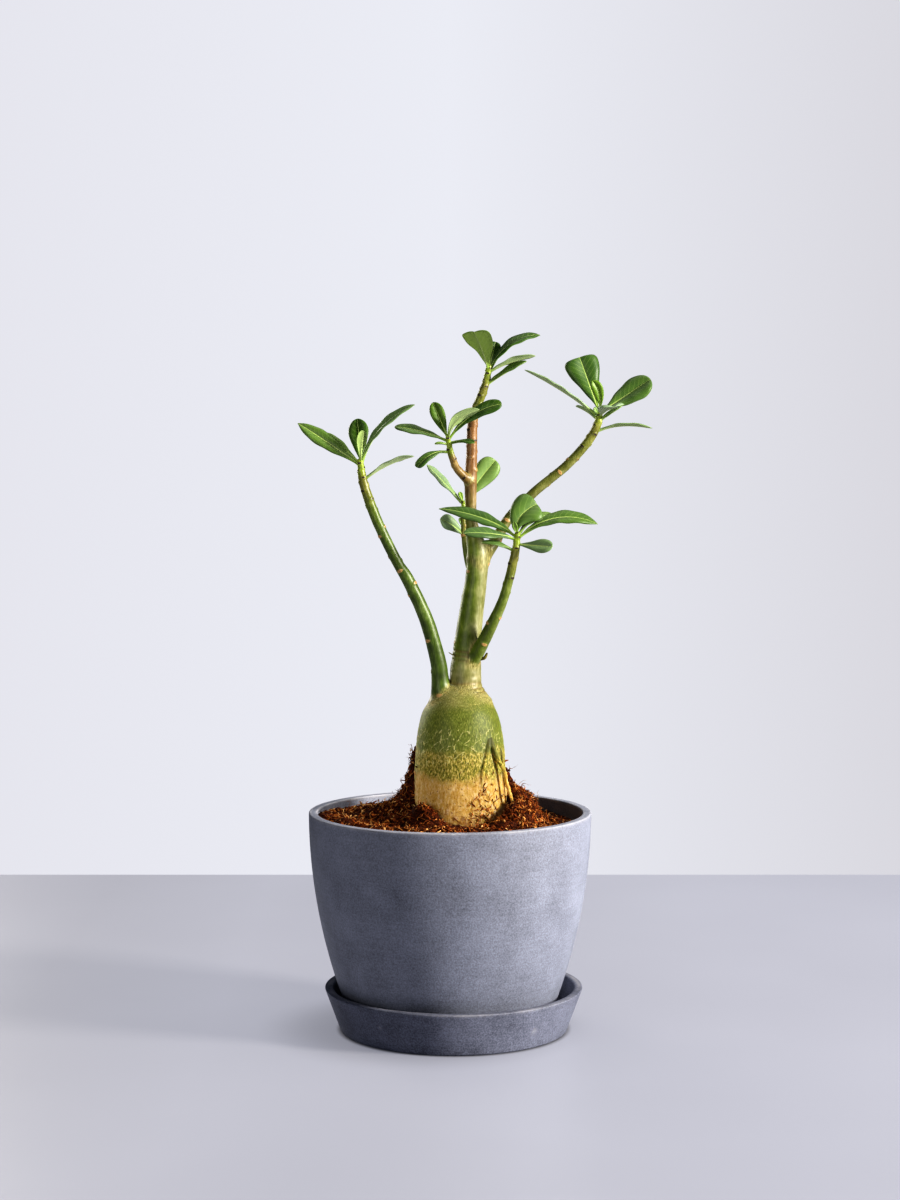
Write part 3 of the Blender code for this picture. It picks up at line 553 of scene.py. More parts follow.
# streaks 0.7 mm wide and 4 mm long, and clouds 8 mm across
streaks = add("noise", add("mapping", where, Scale=(1500, 1500, 260)), Scale=1.0, Detail=3.0)
clouds = add("noise", where, Scale=130.0, Detail=3.0)
tone = add("math multiply_add", streaks, 0.4, add("math multiply", clouds, 0.6))
SHADES = {  # the first is the ground, the others are laid over it where the column of that name says
    "green": ("455408", "5b6c14", "7d8a38"), "deep": ("2b3a07", "3b4f0c", "5a6e30"),
    "tan": ("6b6a38", "828258", "989872"), "brown": ("5a3c18", "7e5c34", "9a7c56"),
    "pale": ("5c5c2a", "7a7648", "96906a"), "young": ("5f7410", "7f9226", "97a844"),
}
shades = {label: add("ramp", tone, stops=list(zip((0.34, 0.5, 0.66), codes))) for label, codes in SHADES.items()}
marks = {label: add("attribute", attribute_name=label, out="Fac")
         for label in ("deep", "tan", "brown", "pale", "young", "sunny", "crease", "scar", "fresh")}
# the tan bark is painted only on the side that faces the key light, a painted highlight
sunny = add("range", add("math multiply_add", clouds, 0.8, marks["sunny"]), 0.8, 1.35, 0.0, 1.0)
marks["tan"] = add("math multiply", marks["tan"], sunny)
painted = shades.pop("green")
for label, shade in shades.items():
    painted = add("mix", marks[label], painted, shade)
painted = with_joint(add, painted, clouds, streaks)
painted = add("mix", add("math multiply", marks["crease"], 0.6), painted, "6a5222")
ragged = add("math multiply_add", clouds, 0.9, marks["scar"])
old_scar = add("mix", add("range", ragged, 1.4, 1.8, 0.9, 0.0), painted, "aa8858")
old_scar = add("mix", add("range", marks["scar"], 0.2, 0.4, 0.7, 0.0), old_scar, "5a3a1c")
new_scar = add("mix", add("range", ragged, 1.0, 1.35, 1.0, 0.0), painted, "2b1d0e")
plug(shader, Base_Color=add("mix", marks["fresh"], old_scar, new_scar),
     Normal=add("bump", Height=tone, Strength=0.35, Distance=0.25 * MM))


# %% Stems with their columns
NECK_RINGS = (180.6, 183.2, 186.5, 198.3, 201.2, 203.4)
DEEPEST = {"branch_left": 0.9, "branch_low_right": 0.25, "branch_high_right": 0.65}


def bark_columns(name, places, gone):
    """How deep a green, brown, pale, tan, young, creased, marked and freshly scarred the bark is along a stem."""
    height, left, none = places[:, 2] / MM, (gone[-1] - gone) / MM, np.zeros(len(places))
    columns = {
        "deep": DEEPEST.get(name, 0) * eased(left, 14, 45), "brown": 0.3 * eased(left, 30, 14), "pale": none,
        "tan": 0.3 * eased(left, 8, 30), "young": eased(left, 12, 4), "crease": none,
        "marked": 0.4 + 0.6 * eased(left, 42, 24), "fresh": eased(left, 40, 26),
    }
    if name == "trunk":
        columns |= {
            "brown": np.maximum(columns["brown"], eased(height, 256, 306) * eased(height, 338, 324)),
            "pale": eased(height, 208, 184), "tan": eased(height, 330, 300), "fresh": eased(height, 300, 312),
            "marked": 0.3 + 0.7 * eased(height, 296, 310),
            "crease": sum(np.exp(-(((height - z) / 0.45) ** 2)) for z in NECK_RINGS),
        }
    if name == "branch_high_right":
        columns |= {"pale": eased(gone / MM, 12, 6), "brown": np.maximum(columns["brown"], 0.2)}
    if name == "branch_left":
        columns["tan"] = none
    if name == "shoot_upper_left":
        columns |= {"brown": 0.75 * eased(left, 8, 14), "fresh": none + 1, "marked": none + 1}
    if name == "twig_rear":
        columns["fresh"] = eased(left, 14, 8)
    if name == "neck_bits":
        columns |= {"brown": none + 0.7, "young": none + 0.2}
    if name == "caudex_roots":
        columns |= {"brown": 0.85 * eased(gone / MM, 16, 5), "from_net": none + 1}
    return columns


def round_off(places, girths):
    """Closes a growing tip with a dome."""
    ahead = (places[-1] - places[-2]) / np.linalg.norm(places[-1] - places[-2])
    shares = np.array([0.4, 0.7, 0.88, 0.97])
    dome = places[-1] + shares[:, None] * girths[-1] * ahead
    return np.vstack([places, dome]), np.concatenate([girths, girths[-1] * np.sqrt(1 - shares**2)])


def strand_piece(name, strands):
    """Loose polylines with a girth at every point, ready for the tree."""
    every_place, every_girth, columns, edges = [], [], {}, []
    for points in strands:
        places, girths = round_off(*measured(points)[:2])
        first = sum(len(p) for p in every_place)
        edges += [(first + k, first + k + 1) for k in range(len(places) - 1)]
        every_place.append(places)
        every_girth.append(girths)
        for label, values in bark_columns(name, places, travelled(places)).items():
            columns.setdefault(label, []).append(values)
    piece = add_piece(name, np.vstack(every_place), edges)
    set_columns(piece, {"girth": np.concatenate(every_girth)} | {k: np.concatenate(v) for k, v in columns.items()})
    return piece


SCAR_SPACING = {"trunk": 3.1, "shoot_upper_left": 2.6, "twig_rear": 4.5}
stems = {}
for name, points in STEMS.items():
    stems[name] = strand_piece(name, [points])
    stems[name].name = name + "_bark"
    grow(stems[name], stem_tree, {"Bark": bark, "Scar Spacing": SCAR_SPACING.get(name, 3.6) * MM})
    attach(stems[name], "root")
    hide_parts(name)

# %% [markdown]
# ## Leaves
# An adenium's leaf is a leathery blade, narrow at its stalk and widest near a blunt tip, folded a little along
# a pale midrib. All leaves follow one rule with their own numbers, so each head is a handful of points that
# carry those numbers: a flat grid is put on every point, and then bent into that point's leaf.

# %% The numbers of every leaf
# down: how far below the growing tip it leaves the stem, in mm. reach: from there to the leaf's own tip.
# bow: how far the middle of the rib stands off the straight line. faces: where the upper side looks.
# width: at the widest. blunt: 0.2 for a squared end to 0.9 for a pointed one. fold: degrees of V along the rib.
# tone: 0 for a deep green to 1 for a bright young one. bloom: how greyish its velvet is.
Leaf = namedtuple("Leaf", "down reach bow faces width blunt fold tone bloom")
LEAVES = {
    "branch_left": [
        Leaf(2.5, (-33.5, 8, 22.5), (-1, 0, 1), (-0.2, -0.75, 0.65), 9.5, 0.95, 14, 0.45, 0.1),
        Leaf(1.5, (-20, 9, 16.5), (-0.5, 0, 0.8), (0.3, -0.8, 0.5), 6.5, 0.8, 18, 0.85, 0.25),
        Leaf(1.5, (-2, 9, 24), (0.3, 2, 0), (-0.3, -0.9, 0.3), 11.5, 0.6, 14, 0.1, 0),
        Leaf(1, (2, -3, 17), (-0.5, -1.5, 0), (-0.5, 0.8, 0.3), 6.2, 0.45, 16, 1, 0.3),
        Leaf(2.5, (28.5, -6, 32), (-4.5, 0, 2.5), (-0.62, -0.42, 0.6), 9.2, 0.75, 16, 0.3, 0.35),
        Leaf(10, (27, -5, 12.5), (-0.5, 0, 1.8), (-0.3, 0.35, 0.9), 6.5, 0.7, 18, 0.4, 0.75),
    ],
    "trunk": [
        Leaf(1.5, (-7.8, -14, 19.2), (0.8, -1, 0), (0.54, 0.6, 0.56), 20.5, 0.22, 8, 1, 0.1),
        Leaf(4, (28, 9, 21), (-2.5, 0, 5), (-0.85, -0.45, 0.3), 11.5, 0.95, 10, 0, 0),
        Leaf(1.5, (4, 8, 15), (0, 2, 0), (0, -0.9, 0.4), 7, 0.4, 12, 0, 0),
        Leaf(3, (25, -4, 8.5), (-1, 0, 1), (-0.3, 0.5, 0.85), 6.5, 0.8, 16, 0.5, 0.6),
        Leaf(10, (22, -4, 12.5), (-0.5, 0, 0.3), (-0.45, -0.4, 0.85), 8, 0.75, 20, 0.35, 0.1),
    ],
    "branch_low_right": [
        Leaf(2, (-41, 6, 15), (3, 0, 2.2), (0, -0.6, 0.8), 10.5, 0.95, 12, 0.05, 0.1),
        Leaf(3, (-28, -9, 3.5), (1, 0, 1.2), (0, -0.6, 0.8), 10, 0.6, 14, 0.05, 0.15),
        Leaf(9, (-18, -4, 4.5), (0, 0, 1), (0.2, -0.35, 0.9), 6.5, 0.8, 18, 0.3, 0.2),
        Leaf(1, (10.5, 6, 16.5), (-4, -1, 1), (-0.2, -0.9, 0.35), 19, 0.28, 8, 0.35, 0.15),
        Leaf(1.5, (18.5, 8, 12), (-1.5, 0, 2.2), (-0.5, -0.4, 0.75), 8, 0.75, 16, 0.7, 0.2),
        Leaf(3, (42.5, 4, 8), (-1, 0, 7), (-0.05, -0.6, 0.8), 11, 0.85, 12, 0.25, 0.1),
        Leaf(5.5, (18.5, -9, -1), (0, 0, 0), (-0.1, -0.85, 0.5), 8.5, 0.5, 12, 0.3, 0.45),
        Leaf(0.5, (-2, -2, 7), (0, 0, 0), (-0.2, -0.9, 0.3), 3.4, 0.7, 28, 0.7, 0.1),
    ],
    "branch_high_right": [
        Leaf(2, (-10.5, 10, 30), (0, 1.5, 0), (0.1, -0.9, 0.4), 19.5, 0.22, 6, 0.05, 0.05),
        Leaf(1.5, (-4.5, -3.5, 16.5), (1.8, 0, 1), (-0.2, -0.9, 0.35), 6.5, 0.6, 18, 0.8, 0),
        Leaf(2.5, (27.8, 6, 18.5), (-0.5, 2, -0.5), (-0.35, -0.8, 0.5), 16, 0.5, 8, 0.2, 0.1),
        Leaf(4, (6.5, -21, 4.5), (0, 0, 1), (-0.1, -0.1, 1), 15, 0.35, 12, 1, 1),
        Leaf(4, (-40.5, -9, 24.5), (0, 0, 1.5), (0.5, 0.15, 0.85), 6.5, 0.8, 20, 0.5, 0.75),
        Leaf(6, (-12, 6, 7.5), (0, 0, 1), (0.4, 0, 0.9), 6, 0.7, 18, 0.3, 0.5),
        Leaf(5, (-3, -3, 5.5), (0, 0, 0), (0.5, -0.8, 0.4), 4.5, 0.5, 16, 0.6, 0.4),
        Leaf(6.5, (12.5, -6, 8), (0, 0, 0), (-0.5, -0.4, 0.8), 6, 0.6, 20, 0.8, 0.3),
        Leaf(13, (31, -4, 2), (-1, 0, 2.6), (-0.1, 0.1, 1), 6, 0.8, 18, 0.7, 0.5),
    ],
    "shoot_upper_left": [
        Leaf(2.5, (-28.5, 5, 7.5), (0, 0, 1.2), (0.25, -0.65, 0.7), 7.5, 0.6, 14, 0.25, 0.25),
        Leaf(1.5, (-8, 3, 19.5), (0, 0, 0), (-0.1, -0.95, 0.3), 8.5, 0.6, 26, 0.3, 0),
        Leaf(1, (16.5, -7, 15), (-3.5, -1, 2), (-0.4, 0.6, 0.65), 8.5, 0.75, 14, 0.7, 0.5),
        Leaf(2, (28, -4, 19), (-2, 0, 3), (-0.2, -0.8, 0.55), 9, 0.4, 12, 0.05, 0),
        Leaf(3.5, (13.5, -6, 0), (0, 0, 0.8), (-0.2, -0.25, 0.9), 6, 0.6, 12, 0.1, 0),
        Leaf(8.5, (-17.5, -7, -8), (-0.5, 0, 3), (-0.2, -0.6, 0.75), 7.2, 0.35, 12, 0.1, 0.05),
        Leaf(4, (-7.5, -2, 0), (0, 0, 0.4), (0.2, 0, 1), 3, 0.8, 18, 1, 0.2),
    ],
    "twig_rear": [
        Leaf(1, (-19.5, 5, 21), (-0.8, 0, 0.8), (0.5, -0.5, 0.65), 8, 0.8, 16, 0.6, 0.85),
        Leaf(0.5, (-2, 1, 6), (0, 0, 0), (0.3, -0.9, 0.3), 3.2, 0.6, 22, 1, 0),
        Leaf(1.5, (17.5, 8, 24), (-1, 1, 0), (0.3, -0.9, 0.4), 13, 0.4, 10, 1, 0.35),
        Leaf(18, (-13, -4, 9), (0, 0, 1), (0.5, -0.75, 0.4), 10, 0.7, 16, 1, 0.9),
        Leaf(14, (-2.5, 0, 5.5), (0, 0, 0), (0.4, -0.8, 0.4), 3, 0.7, 22, 0.8, 0.3),
    ],
}

# %% The tree that makes the leaves: flat grids on points
leaf_tree, add, given = new_tree("leaf_blades", {
    "Stations": 38, "Columns": 27, "Shoulder": 1.5, "Petiole Width": 1.3 * MM, "Tip Width": 0.8 * MM,
    "Petiole Thickness": 1.2 * MM, "Blade Thickness": 0.8 * MM, "Rib Width": 0.6 * MM, "Groove": 0.22 * MM,
    "Ridge": 0.45 * MM, "Arch": 0.1, "Roll": 0.12, "Wave Height": 0.35 * MM, "Wave Length": 11 * MM,
    "Upper Side": None, "Under Side": None,
})
sheet = add("GeometryNodeMeshGrid", 1.0, 2.0, given["Stations"], given["Columns"])
x, y, _ = add("split", add("position")).node.outputs
# rows crowd towards the tip, and columns towards the rib, where the leaf bends most
share = add("math subtract", 1.0, add("math power", add("math subtract", 0.5, x), 1.7))
across = add("math multiply", add("math power", add("math absolute", y), 1.3), add("math sign", y))
for label, value in (("share", share), ("across", across)):
    sheet = add("store", sheet, Name=label, Value=value)

# %% Two sheets, sewn along their borders
both = add("GeometryNodeJoinGeometry")
for faced, side, finish in ((sheet, 1.0, "Upper Side"), (add("GeometryNodeFlipFaces", sheet), -1.0, "Under Side")):
    faced = add("store", faced, Name="sheet", Value=side)
    leaf_tree.links.new(add("paint", faced, Material=given[finish]), both.node.inputs[0])
share, across = add("column", "share"), add("column", "across")
beside = add("math absolute", across)
border = add("math greater_than", beside, 0.9999)
for edge, test in ((0.0001, "less_than"), (0.9999, "greater_than")):
    border = add("math maximum", border, add("math " + test, share, edge))
sewn = add("GeometryNodeMergeByDistance", both, border, 0.01 * MM)
blades = add("realize", add("GeometryNodeInstanceOnPoints", given["Geometry"], Instance=sewn))

# %% The rule of its width
width, blunt, fold, phase, span = (add("column", label) for label in ("width", "blunt", "fold", "phase", "span"))
peak = add("math divide", given["Shoulder"], add("math add", given["Shoulder"], blunt))
rise = add("math power", add("math divide", share, peak), given["Shoulder"])
left = add("math subtract", 1.0, share)
fall = add("math power", add("math divide", left, add("math subtract", 1.0, peak)), blunt)
blade = add("math multiply", add("math multiply", rise, fall), width)
least = add("range", share, 0.0, 1.0, given["Petiole Width"], given["Tip Width"])
half = add("math multiply", add("math maximum", blade, least), 0.5)

# %% The rule of its bend: a shallow arc from base to tip, with the upper side turned as the leaf says
base, reach, bow, faces = (add("column", k, data_type="FLOAT_VECTOR") for k in ("base", "reach", "bow", "faces"))
arc = add("math multiply", add("math multiply", share, left), 4.0)
place = add("vector add", add("vector scale", reach, share), base)
place = add("vector add", place, add("vector scale", bow, arc))
turn = add("math multiply_add", share, -8.0, 4.0)
ahead = add("vector normalize", add("vector add", add("vector scale", bow, turn), reach))
along = add("vector scale", ahead, add("vector dot_product", faces, ahead))
up = add("vector normalize", add("vector subtract", faces, along))
to_side = add("vector cross_product", ahead, up)

# %% The rule of its section: folded, arched, rolled under at the margin, and waved
vee = add("math multiply", beside, add("math sine", fold))
arch = add("math multiply", add("math multiply", add("math subtract", 1.0, beside), beside), given["Arch"])
vee = add("math multiply_add", arch, 4.0, vee)
vee = add("math subtract", vee, add("math multiply", add("math power", beside, 6.0), given["Roll"]))
level = add("math multiply", vee, half)
beats = add("math multiply", add("math divide", span, given["Wave Length"]), math.tau)
swing = add("math multiply_add", across, 1.3, add("math multiply_add", share, beats, phase))
swing = add("math multiply", add("math multiply", add("math sine", swing), given["Wave Height"]), arc)
level = add("math multiply_add", swing, add("math power", beside, 2.0), level)

# %% Its thickness, with a groove above the rib and a ridge below
which = add("column", "sheet")
round_edge = add("math subtract", 1.0, add("math power", beside, 4.0), use_clamp=True)
round_tip = add("math subtract", 1.0, add("math power", share, 16.0), use_clamp=True)
started = add("math multiply", share, 1000.0, use_clamp=True)
body = add("math multiply", add("math sqrt", add("math multiply", round_edge, round_tip)), started)
thick = add("range", share, 0.05, 0.35, given["Petiole Thickness"], given["Blade Thickness"])
thick = add("math multiply", add("math multiply", thick, body), 0.5)
level = add("math multiply_add", thick, which, level)
from_rib = add("math divide", add("math multiply", beside, half), given["Rib Width"])
rib = add("math exponent", add("math multiply", add("math multiply", from_rib, from_rib), -1.0))
deep = add("range", which, -1.0, 1.0, given["Ridge"], given["Groove"])
deep = add("math multiply", add("math multiply", deep, left), body)
level = add("math subtract", level, add("math multiply", rib, deep))
sideways = add("math multiply", across, half)
flat = add("math multiply", sideways, add("math cosine", fold))
place = add("vector add", place, add("vector scale", to_side, flat))
place = add("vector add", place, add("vector scale", up, level))
drawn = add("combine", sideways, add("math multiply", share, span))
blades = add("store", blades, Name="on_blade", Value=drawn, data_type="FLOAT_VECTOR")
end_tree(add, add("move", blades, Position=place))

# %% [markdown]
# ### Leaf skin
# The upper side is a deep green skin with a soft velvet sheen, the under side is paler and greyer because its
# fine hairs scatter light. The midrib is pale on both, side veins leave it every 3 mm and curve to the margin,
# and the stalk is yellow-green. Both sides are one material recipe with different colours.


# %% The leaf's materials
def leaf_skin(name, deep, bright, grey, vein, vein_strength, roughness):
    """One side's skin, from its colours, how strongly its side veins show, and how rough it is."""
    made, shader, add, where = new_material(
        name, Roughness=roughness, IOR=1.4, Sheen_Weight=0.06, Sheen_Roughness=0.4)
    share, across, tone, bloom = (add("attribute", attribute_name=k, out="Fac")
                                  for k in ("share", "across", "tone", "bloom"))
    sideways, along, _ = add("split", add("attribute", attribute_name="on_blade", out="Vector")).node.outputs
    beside, margin = add("math absolute", sideways), add("math absolute", across)
    # clouds 6 mm across, and the skin's cells, 0.7 mm across so that they show
    clouds = add("noise", where, Scale=160.0, Detail=3.0)
    cells = add("noise", where, Scale=1500.0, Detail=2.0)
    much = add("math multiply_add", add("math subtract", clouds, 0.5), 0.6, tone, use_clamp=True)
    painted = add("mix", bloom, add("mix", much, deep, bright), grey)
    # side veins: lines 3 mm apart that slant forward, fading before the margin
    slant = add("math multiply", add("math multiply_add", beside, -0.9, along), 1 / (3.0 * MM))
    line = add("math pingpong", add("math multiply_add", clouds, 0.5, slant), 0.5)
    fade = add("range", margin, 0.35, 0.95, vein_strength, 0.0)
    line = add("math multiply", add("range", line, 0.0, 0.13, 1.0, 0.0), fade)
    rib = add("math divide", beside, add("range", share, 0.1, 1.0, 0.55 * MM, 0.12 * MM))
    lines = add("math maximum", line, add("range", rib, 0.5, 1.1, 0.85, 0.0))
    # over the skin lie its veins, then the stalk, then a pale margin
    for much, code in ((lines, vein), (add("range", share, 0.04, 0.22, 0.9, 0.0), "86a33c"),
                       (add("range", margin, 0.95, 1.0, 0.0, 0.45), "8fa35c")):
        painted = add("mix", much, painted, code)
    height = add("math multiply_add", lines, -0.6, add("math multiply", cells, 0.25))
    plug(shader, Base_Color=painted, Normal=add("bump", Height=height, Strength=0.4, Distance=0.2 * MM))
    return made


upper_skin = leaf_skin("leaf_skin_upper", "2c4c08", "668520", "7f9574", "a9bc70", 0.16, 0.45)
under_skin = leaf_skin("leaf_skin_under", "55702a", "8ba548", "9dab8c", "a8b67c", 0.3, 0.6)

# %% Six heads of leaves
HEADS = {
    "branch_left": "leaves_left", "trunk": "leaves_top", "branch_low_right": "leaves_low_right",
    "branch_high_right": "leaves_high_right", "shoot_upper_left": "leaves_upper_left", "twig_rear": "leaves_rear",
}
wave_starts = random.Random(5)
heads = []
for name, node in HEADS.items():
    places, _, gone = measured(STEMS[name])
    leaves = LEAVES[name]
    bases = [[np.interp(gone[-1] - leaf.down * MM, gone, places[:, axis]) for axis in range(3)] for leaf in leaves]
    head = add_piece(node + "_blades", bases)
    columns = {"base": bases, "faces": [leaf.faces for leaf in leaves]}
    for label in ("reach", "bow"):
        columns[label] = np.array([getattr(leaf, label) for leaf in leaves], float) * MM
    for label, unit in (("width", MM), ("blunt", 1), ("fold", math.radians(1)), ("tone", 1), ("bloom", 1)):
        columns[label] = np.array([getattr(leaf, label) for leaf in leaves], float) * unit
    columns["span"] = np.linalg.norm(columns["reach"], axis=1)
    columns["phase"] = [wave_starts.uniform(0, math.tau) for _ in leaves]
    set_columns(head, columns)
    grow(head, leaf_tree, {"Upper Side": upper_skin, "Under Side": under_skin})
    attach(head, "root")
    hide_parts(node)
    heads.append(head)

# %% [markdown]
# ## Caudex
# The swollen base stores water. It is a bulb turned from an outline, with three soft lobes near the ground.
# Its skin changes with height: smooth and green on top, then a band where old skin has split into a fine pale
# net, then a speckled band, and corky yellow-tan skin down to the soil. The roots stand clear of it at one side.

# %% The bulb's outline: (height, radius) in millimetres, from the buried tip to the crown
CAUDEX_X = 5.2 * MM
CAUDEX_PROFILE = [
    (54, 0.3), (56, 4), (59, 7.2), (64, 10.5), (76, 17.3), (92, 23), (108, 25.4), (123, 25.3), (135, 24.7),
    (146, 24), (155, 23.2), (161, 22.4), (166.5, 21.2), (172, 19.2), (177, 16), (181, 12), (184, 7.5), (185.5, 0.3),
]

# %% The tree that makes the bulb
bulb_tree, add, given = new_tree("caudex_bulb", {
    "Sides": 272, "Ring Spacing": 0.54 * MM, "Centre": CAUDEX_X, "Lobes": 3, "Lobe Swell": 0.03,
    "Lobes Start": 167 * MM, "Lobes Full": 107 * MM, "Dent Size": 15 * MM, "Dent Depth": 0.9 * MM,
    "Net Bottom": 146 * MM, "Net Top": 163 * MM, "Net Cell": 3 * MM, "Net Height": 0.16 * MM,
    "Cork Top": 150 * MM, "Cork Size": 1.5 * MM, "Cork Height": 0.4 * MM, "Skin": None,
})
girth = add("column", "girth")
path = add("GeometryNodeMeshToCurve", given["Geometry"])
path = add("GeometryNodeResampleCurve", path, Length=given["Ring Spacing"], mode="LENGTH")
ring = add("GeometryNodeCurvePrimitiveCircle", given["Sides"], 1.0)
tube = add("GeometryNodeCurveToMesh", path, ring, girth, True)
spot = add("position")
x, y, z = add("split", spot).node.outputs
turn = add("math arctan2", y, add("math subtract", x, given["Centre"]))
lobe = add("math cosine", add("math multiply_add", turn, given["Lobes"], 0.6))
low = add("range", z, given["Lobes Start"], given["Lobes Full"], 0.0, given["Lobe Swell"])
lift = add("math multiply", add("math multiply", lobe, low), girth)
dents = add("noise", Scale=add("math divide", 1.0, given["Dent Size"]), Detail=1.0)
lift = add("math multiply_add", add("math subtract", dents, 0.5), given["Dent Depth"], lift)

# %% The bulb's net: ridges between cells that are a little taller than wide, wandering and broken
# its lines wander every 4 mm, break every 3 mm, and end on a border that is ragged every 8 mm
wander = add("vector scale", add("noise", Scale=260.0, Detail=2.0, out="Color"), 3 * MM)
wander = add("vector multiply", add("vector add", spot, wander), (1, 1, 0.6))
cell_scale = add("math divide", 1.0, given["Net Cell"])
cells = add("ShaderNodeTexVoronoi", wander, Scale=cell_scale, feature="DISTANCE_TO_EDGE")
gaps = add("range", add("noise", Scale=330.0, Detail=1.0), 0.3, 0.42, 0.0, 1.0)
ragged = add("math subtract", add("noise", Scale=130.0, Detail=2.0), 0.5)
level = add("math multiply_add", ragged, 9 * MM, z)
above = add("math greater_than", level, given["Net Bottom"])
below = add("range", level, given["Net Top"], add("math add", given["Net Top"], 3 * MM), 1.0, 0.0)
shown = add("math multiply", add("math multiply", gaps, above), below)
net = add("math multiply", add("range", cells, 0.02, 0.06, 1.0, 0.0), shown)
lift = add("math multiply_add", net, given["Net Height"], lift)
# its painted lines keep the distance itself, which stays crisp between the mesh's points
from_net = add("math multiply_add", add("math subtract", 1.0, shown), 0.1, cells)

# %% The bulb's cork: fine upright grains, in full a little below its top
upright = add("vector multiply", spot, (1, 1, 0.5))
cork = add("noise", upright, Scale=add("math divide", 1.0, given["Cork Size"]), Detail=3.0)
full = add("math subtract", given["Cork Top"], 12 * MM)
corky = add("range", level, given["Cork Top"], full, 0.15, 1.0)
cork = add("math multiply", add("math subtract", cork, 0.5), corky)
lift = add("math multiply_add", cork, given["Cork Height"], lift)
move = add("vector scale", add("GeometryNodeInputNormal"), lift)
bulb = add("store", tube, Name="from_net", Value=from_net)
end_tree(add, add("move", bulb, Offset=move), given["Skin"])

# %% The bulb's skin, from the ground up
caudex_skin, shader, add, where = new_material(
    "caudex_skin", Roughness=0.6, IOR=1.4, Sheen_Weight=0.05, Subsurface_Weight=0.6,
    Subsurface_Radius=(1.0, 0.75, 0.3), Subsurface_Scale=9 * MM)
height = add("split", where, out="Z")
# the borders between the bands follow clouds 9 mm across, up and down by as much as 8 mm
clouds = add("noise", where, Scale=110.0, Detail=4.0, Roughness=0.6)
level = add("math multiply_add", add("math subtract", clouds, 0.5), 16 * MM, height)
# streaks 0.6 mm wide, grains of 1.4 mm and specks of 0.8 mm, all of them longer upwards than across
streaks = add("noise", add("mapping", where, Scale=(1, 1, 0.28)), Scale=1700.0, Detail=3.0, Roughness=0.6)
upright = add("mapping", where, Scale=(1, 1, 0.55))
grains = add("noise", upright, Scale=720.0, Detail=4.0, Roughness=0.7)
specks = add("noise", upright, Scale=1250.0, Detail=3.0, Roughness=0.6)
cork, speckled, green, pale = (add("ramp", grain, stops=stops) for grain, stops in (
    (grains, [(0.28, "74501a"), (0.4, "a07f36"), (0.52, "ae9258"), (0.64, "b8a278"), (0.78, "c2b292")]),
    (specks, [(0.34, "45440e"), (0.45, "6c6a1c"), (0.54, "8c8138"), (0.64, "b4a566")]),
    (streaks, [(0.3, "414a09"), (0.5, "586116"), (0.7, "7c823c")]),
    (streaks, [(0.3, "5f6028"), (0.5, "7f7c48"), (0.7, "9b9568")])))
painted = cork
for start, end, most, paint in ((135, 141, 1.0, speckled), (149, 154, 1.0, green), (172, 181, 0.9, pale)):
    painted = add("mix", add("range", level, start * MM, end * MM, 0.0, most), painted, paint)
high = add("range", level, 160 * MM, 166 * MM, 0.0, 1.0)
painted = with_joint(add, painted, clouds, streaks, high)
net = add("range", add("attribute", attribute_name="from_net", out="Fac"), 0.015, 0.055, 0.8, 0.0)
# near the ground the cork is damp and stained with soil, in blots of 2.4 mm
damp = add("noise", where, Scale=420.0, Detail=4.0, Roughness=0.7)
damp = add("range", add("math multiply_add", damp, 60 * MM, height), 150 * MM, 142 * MM, 0.0, 0.7)
rooty = add("attribute", attribute_name="brown", out="Fac")
# dark pits about half a millimetre across, thickest where the speckled band ends
pits = add("range", add("noise", where, Scale=1150.0, Detail=1.0, Distortion=0.4), 0.33, 0.27, 0.0, 0.85)
pits = add("math multiply", pits, add("range", level, 150 * MM, 144 * MM, 0.0, 1.0))
for much, code in ((net, "b0aa74"), (damp, "6e4414"), (rooty, "4c4a20"), (pits, "5a3a18")):
    painted = add("mix", much, painted, code)
rough, depth = (add("range", level, 142 * MM, 156 * MM, low, high) for low, high in ((0.8, 0.58), (0.5, 0.12)))
plug(shader, Base_Color=painted, Roughness=rough,
     Normal=add("bump", Height=grains, Strength=depth, Distance=0.5 * MM))

# %% The bulb and the roots that stand clear of it
outline = smooth_through([(z, radius) for z, radius in CAUDEX_PROFILE], 6)
centres = [(CAUDEX_X, 0, z * MM) for z, _ in outline]
caudex = add_piece("caudex_bulb", centres, [(k, k + 1) for k in range(len(outline) - 1)])
set_columns(caudex, {"girth": outline[:, 1] * MM})
grow(caudex, bulb_tree, {"Skin": caudex_skin})
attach(caudex, "root")
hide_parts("caudex")

ROOTS = [
    [(20, -12, 160, 1.0), (20.4, -16.2, 157.2, 1.5), (19.8, -18.4, 152, 1.2), (18.4, -20.4, 146, 1.0),
     (17.2, -21.4, 139, 0.7), (16.6, -21.2, 133, 0.4)],
    [(20, -13, 160, 0.9), (21.6, -15.6, 156.6, 1.5), (24, -16.6, 151, 1.2), (25.6, -16.4, 147, 1.3),
     (28.6, -15.6, 141, 1.0), (30, -15.4, 135, 0.9), (31.4, -15, 130, 0.9), (35, -13, 119, 0.6)],
    [(23, -8, 156, 0.8), (26.8, -9.6, 150.5, 0.9), (28.2, -9.8, 144, 0.6), (29.4, -9.6, 136, 0.8),
     (33, -9, 124, 0.6)],
    [(22, 8, 152, 0.9), (26.8, 12, 145, 1.1), (28.8, 13, 134, 1.0), (32, 14, 120, 0.7)],
    [(-9, 14, 148, 0.9), (-13, 18, 141, 1.1), (-15.5, 20.5, 131, 1.0), (-18, 23, 116, 0.7)],
]
roots = strand_piece("caudex_roots", ROOTS)
grow(roots, stem_tree, {
    "Bark": caudex_skin, "Sides": 28, "Scar Height": 0.0, "Lump Height": 1.1 * MM, "Lump Size": 3 * MM})
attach(roots, "root")

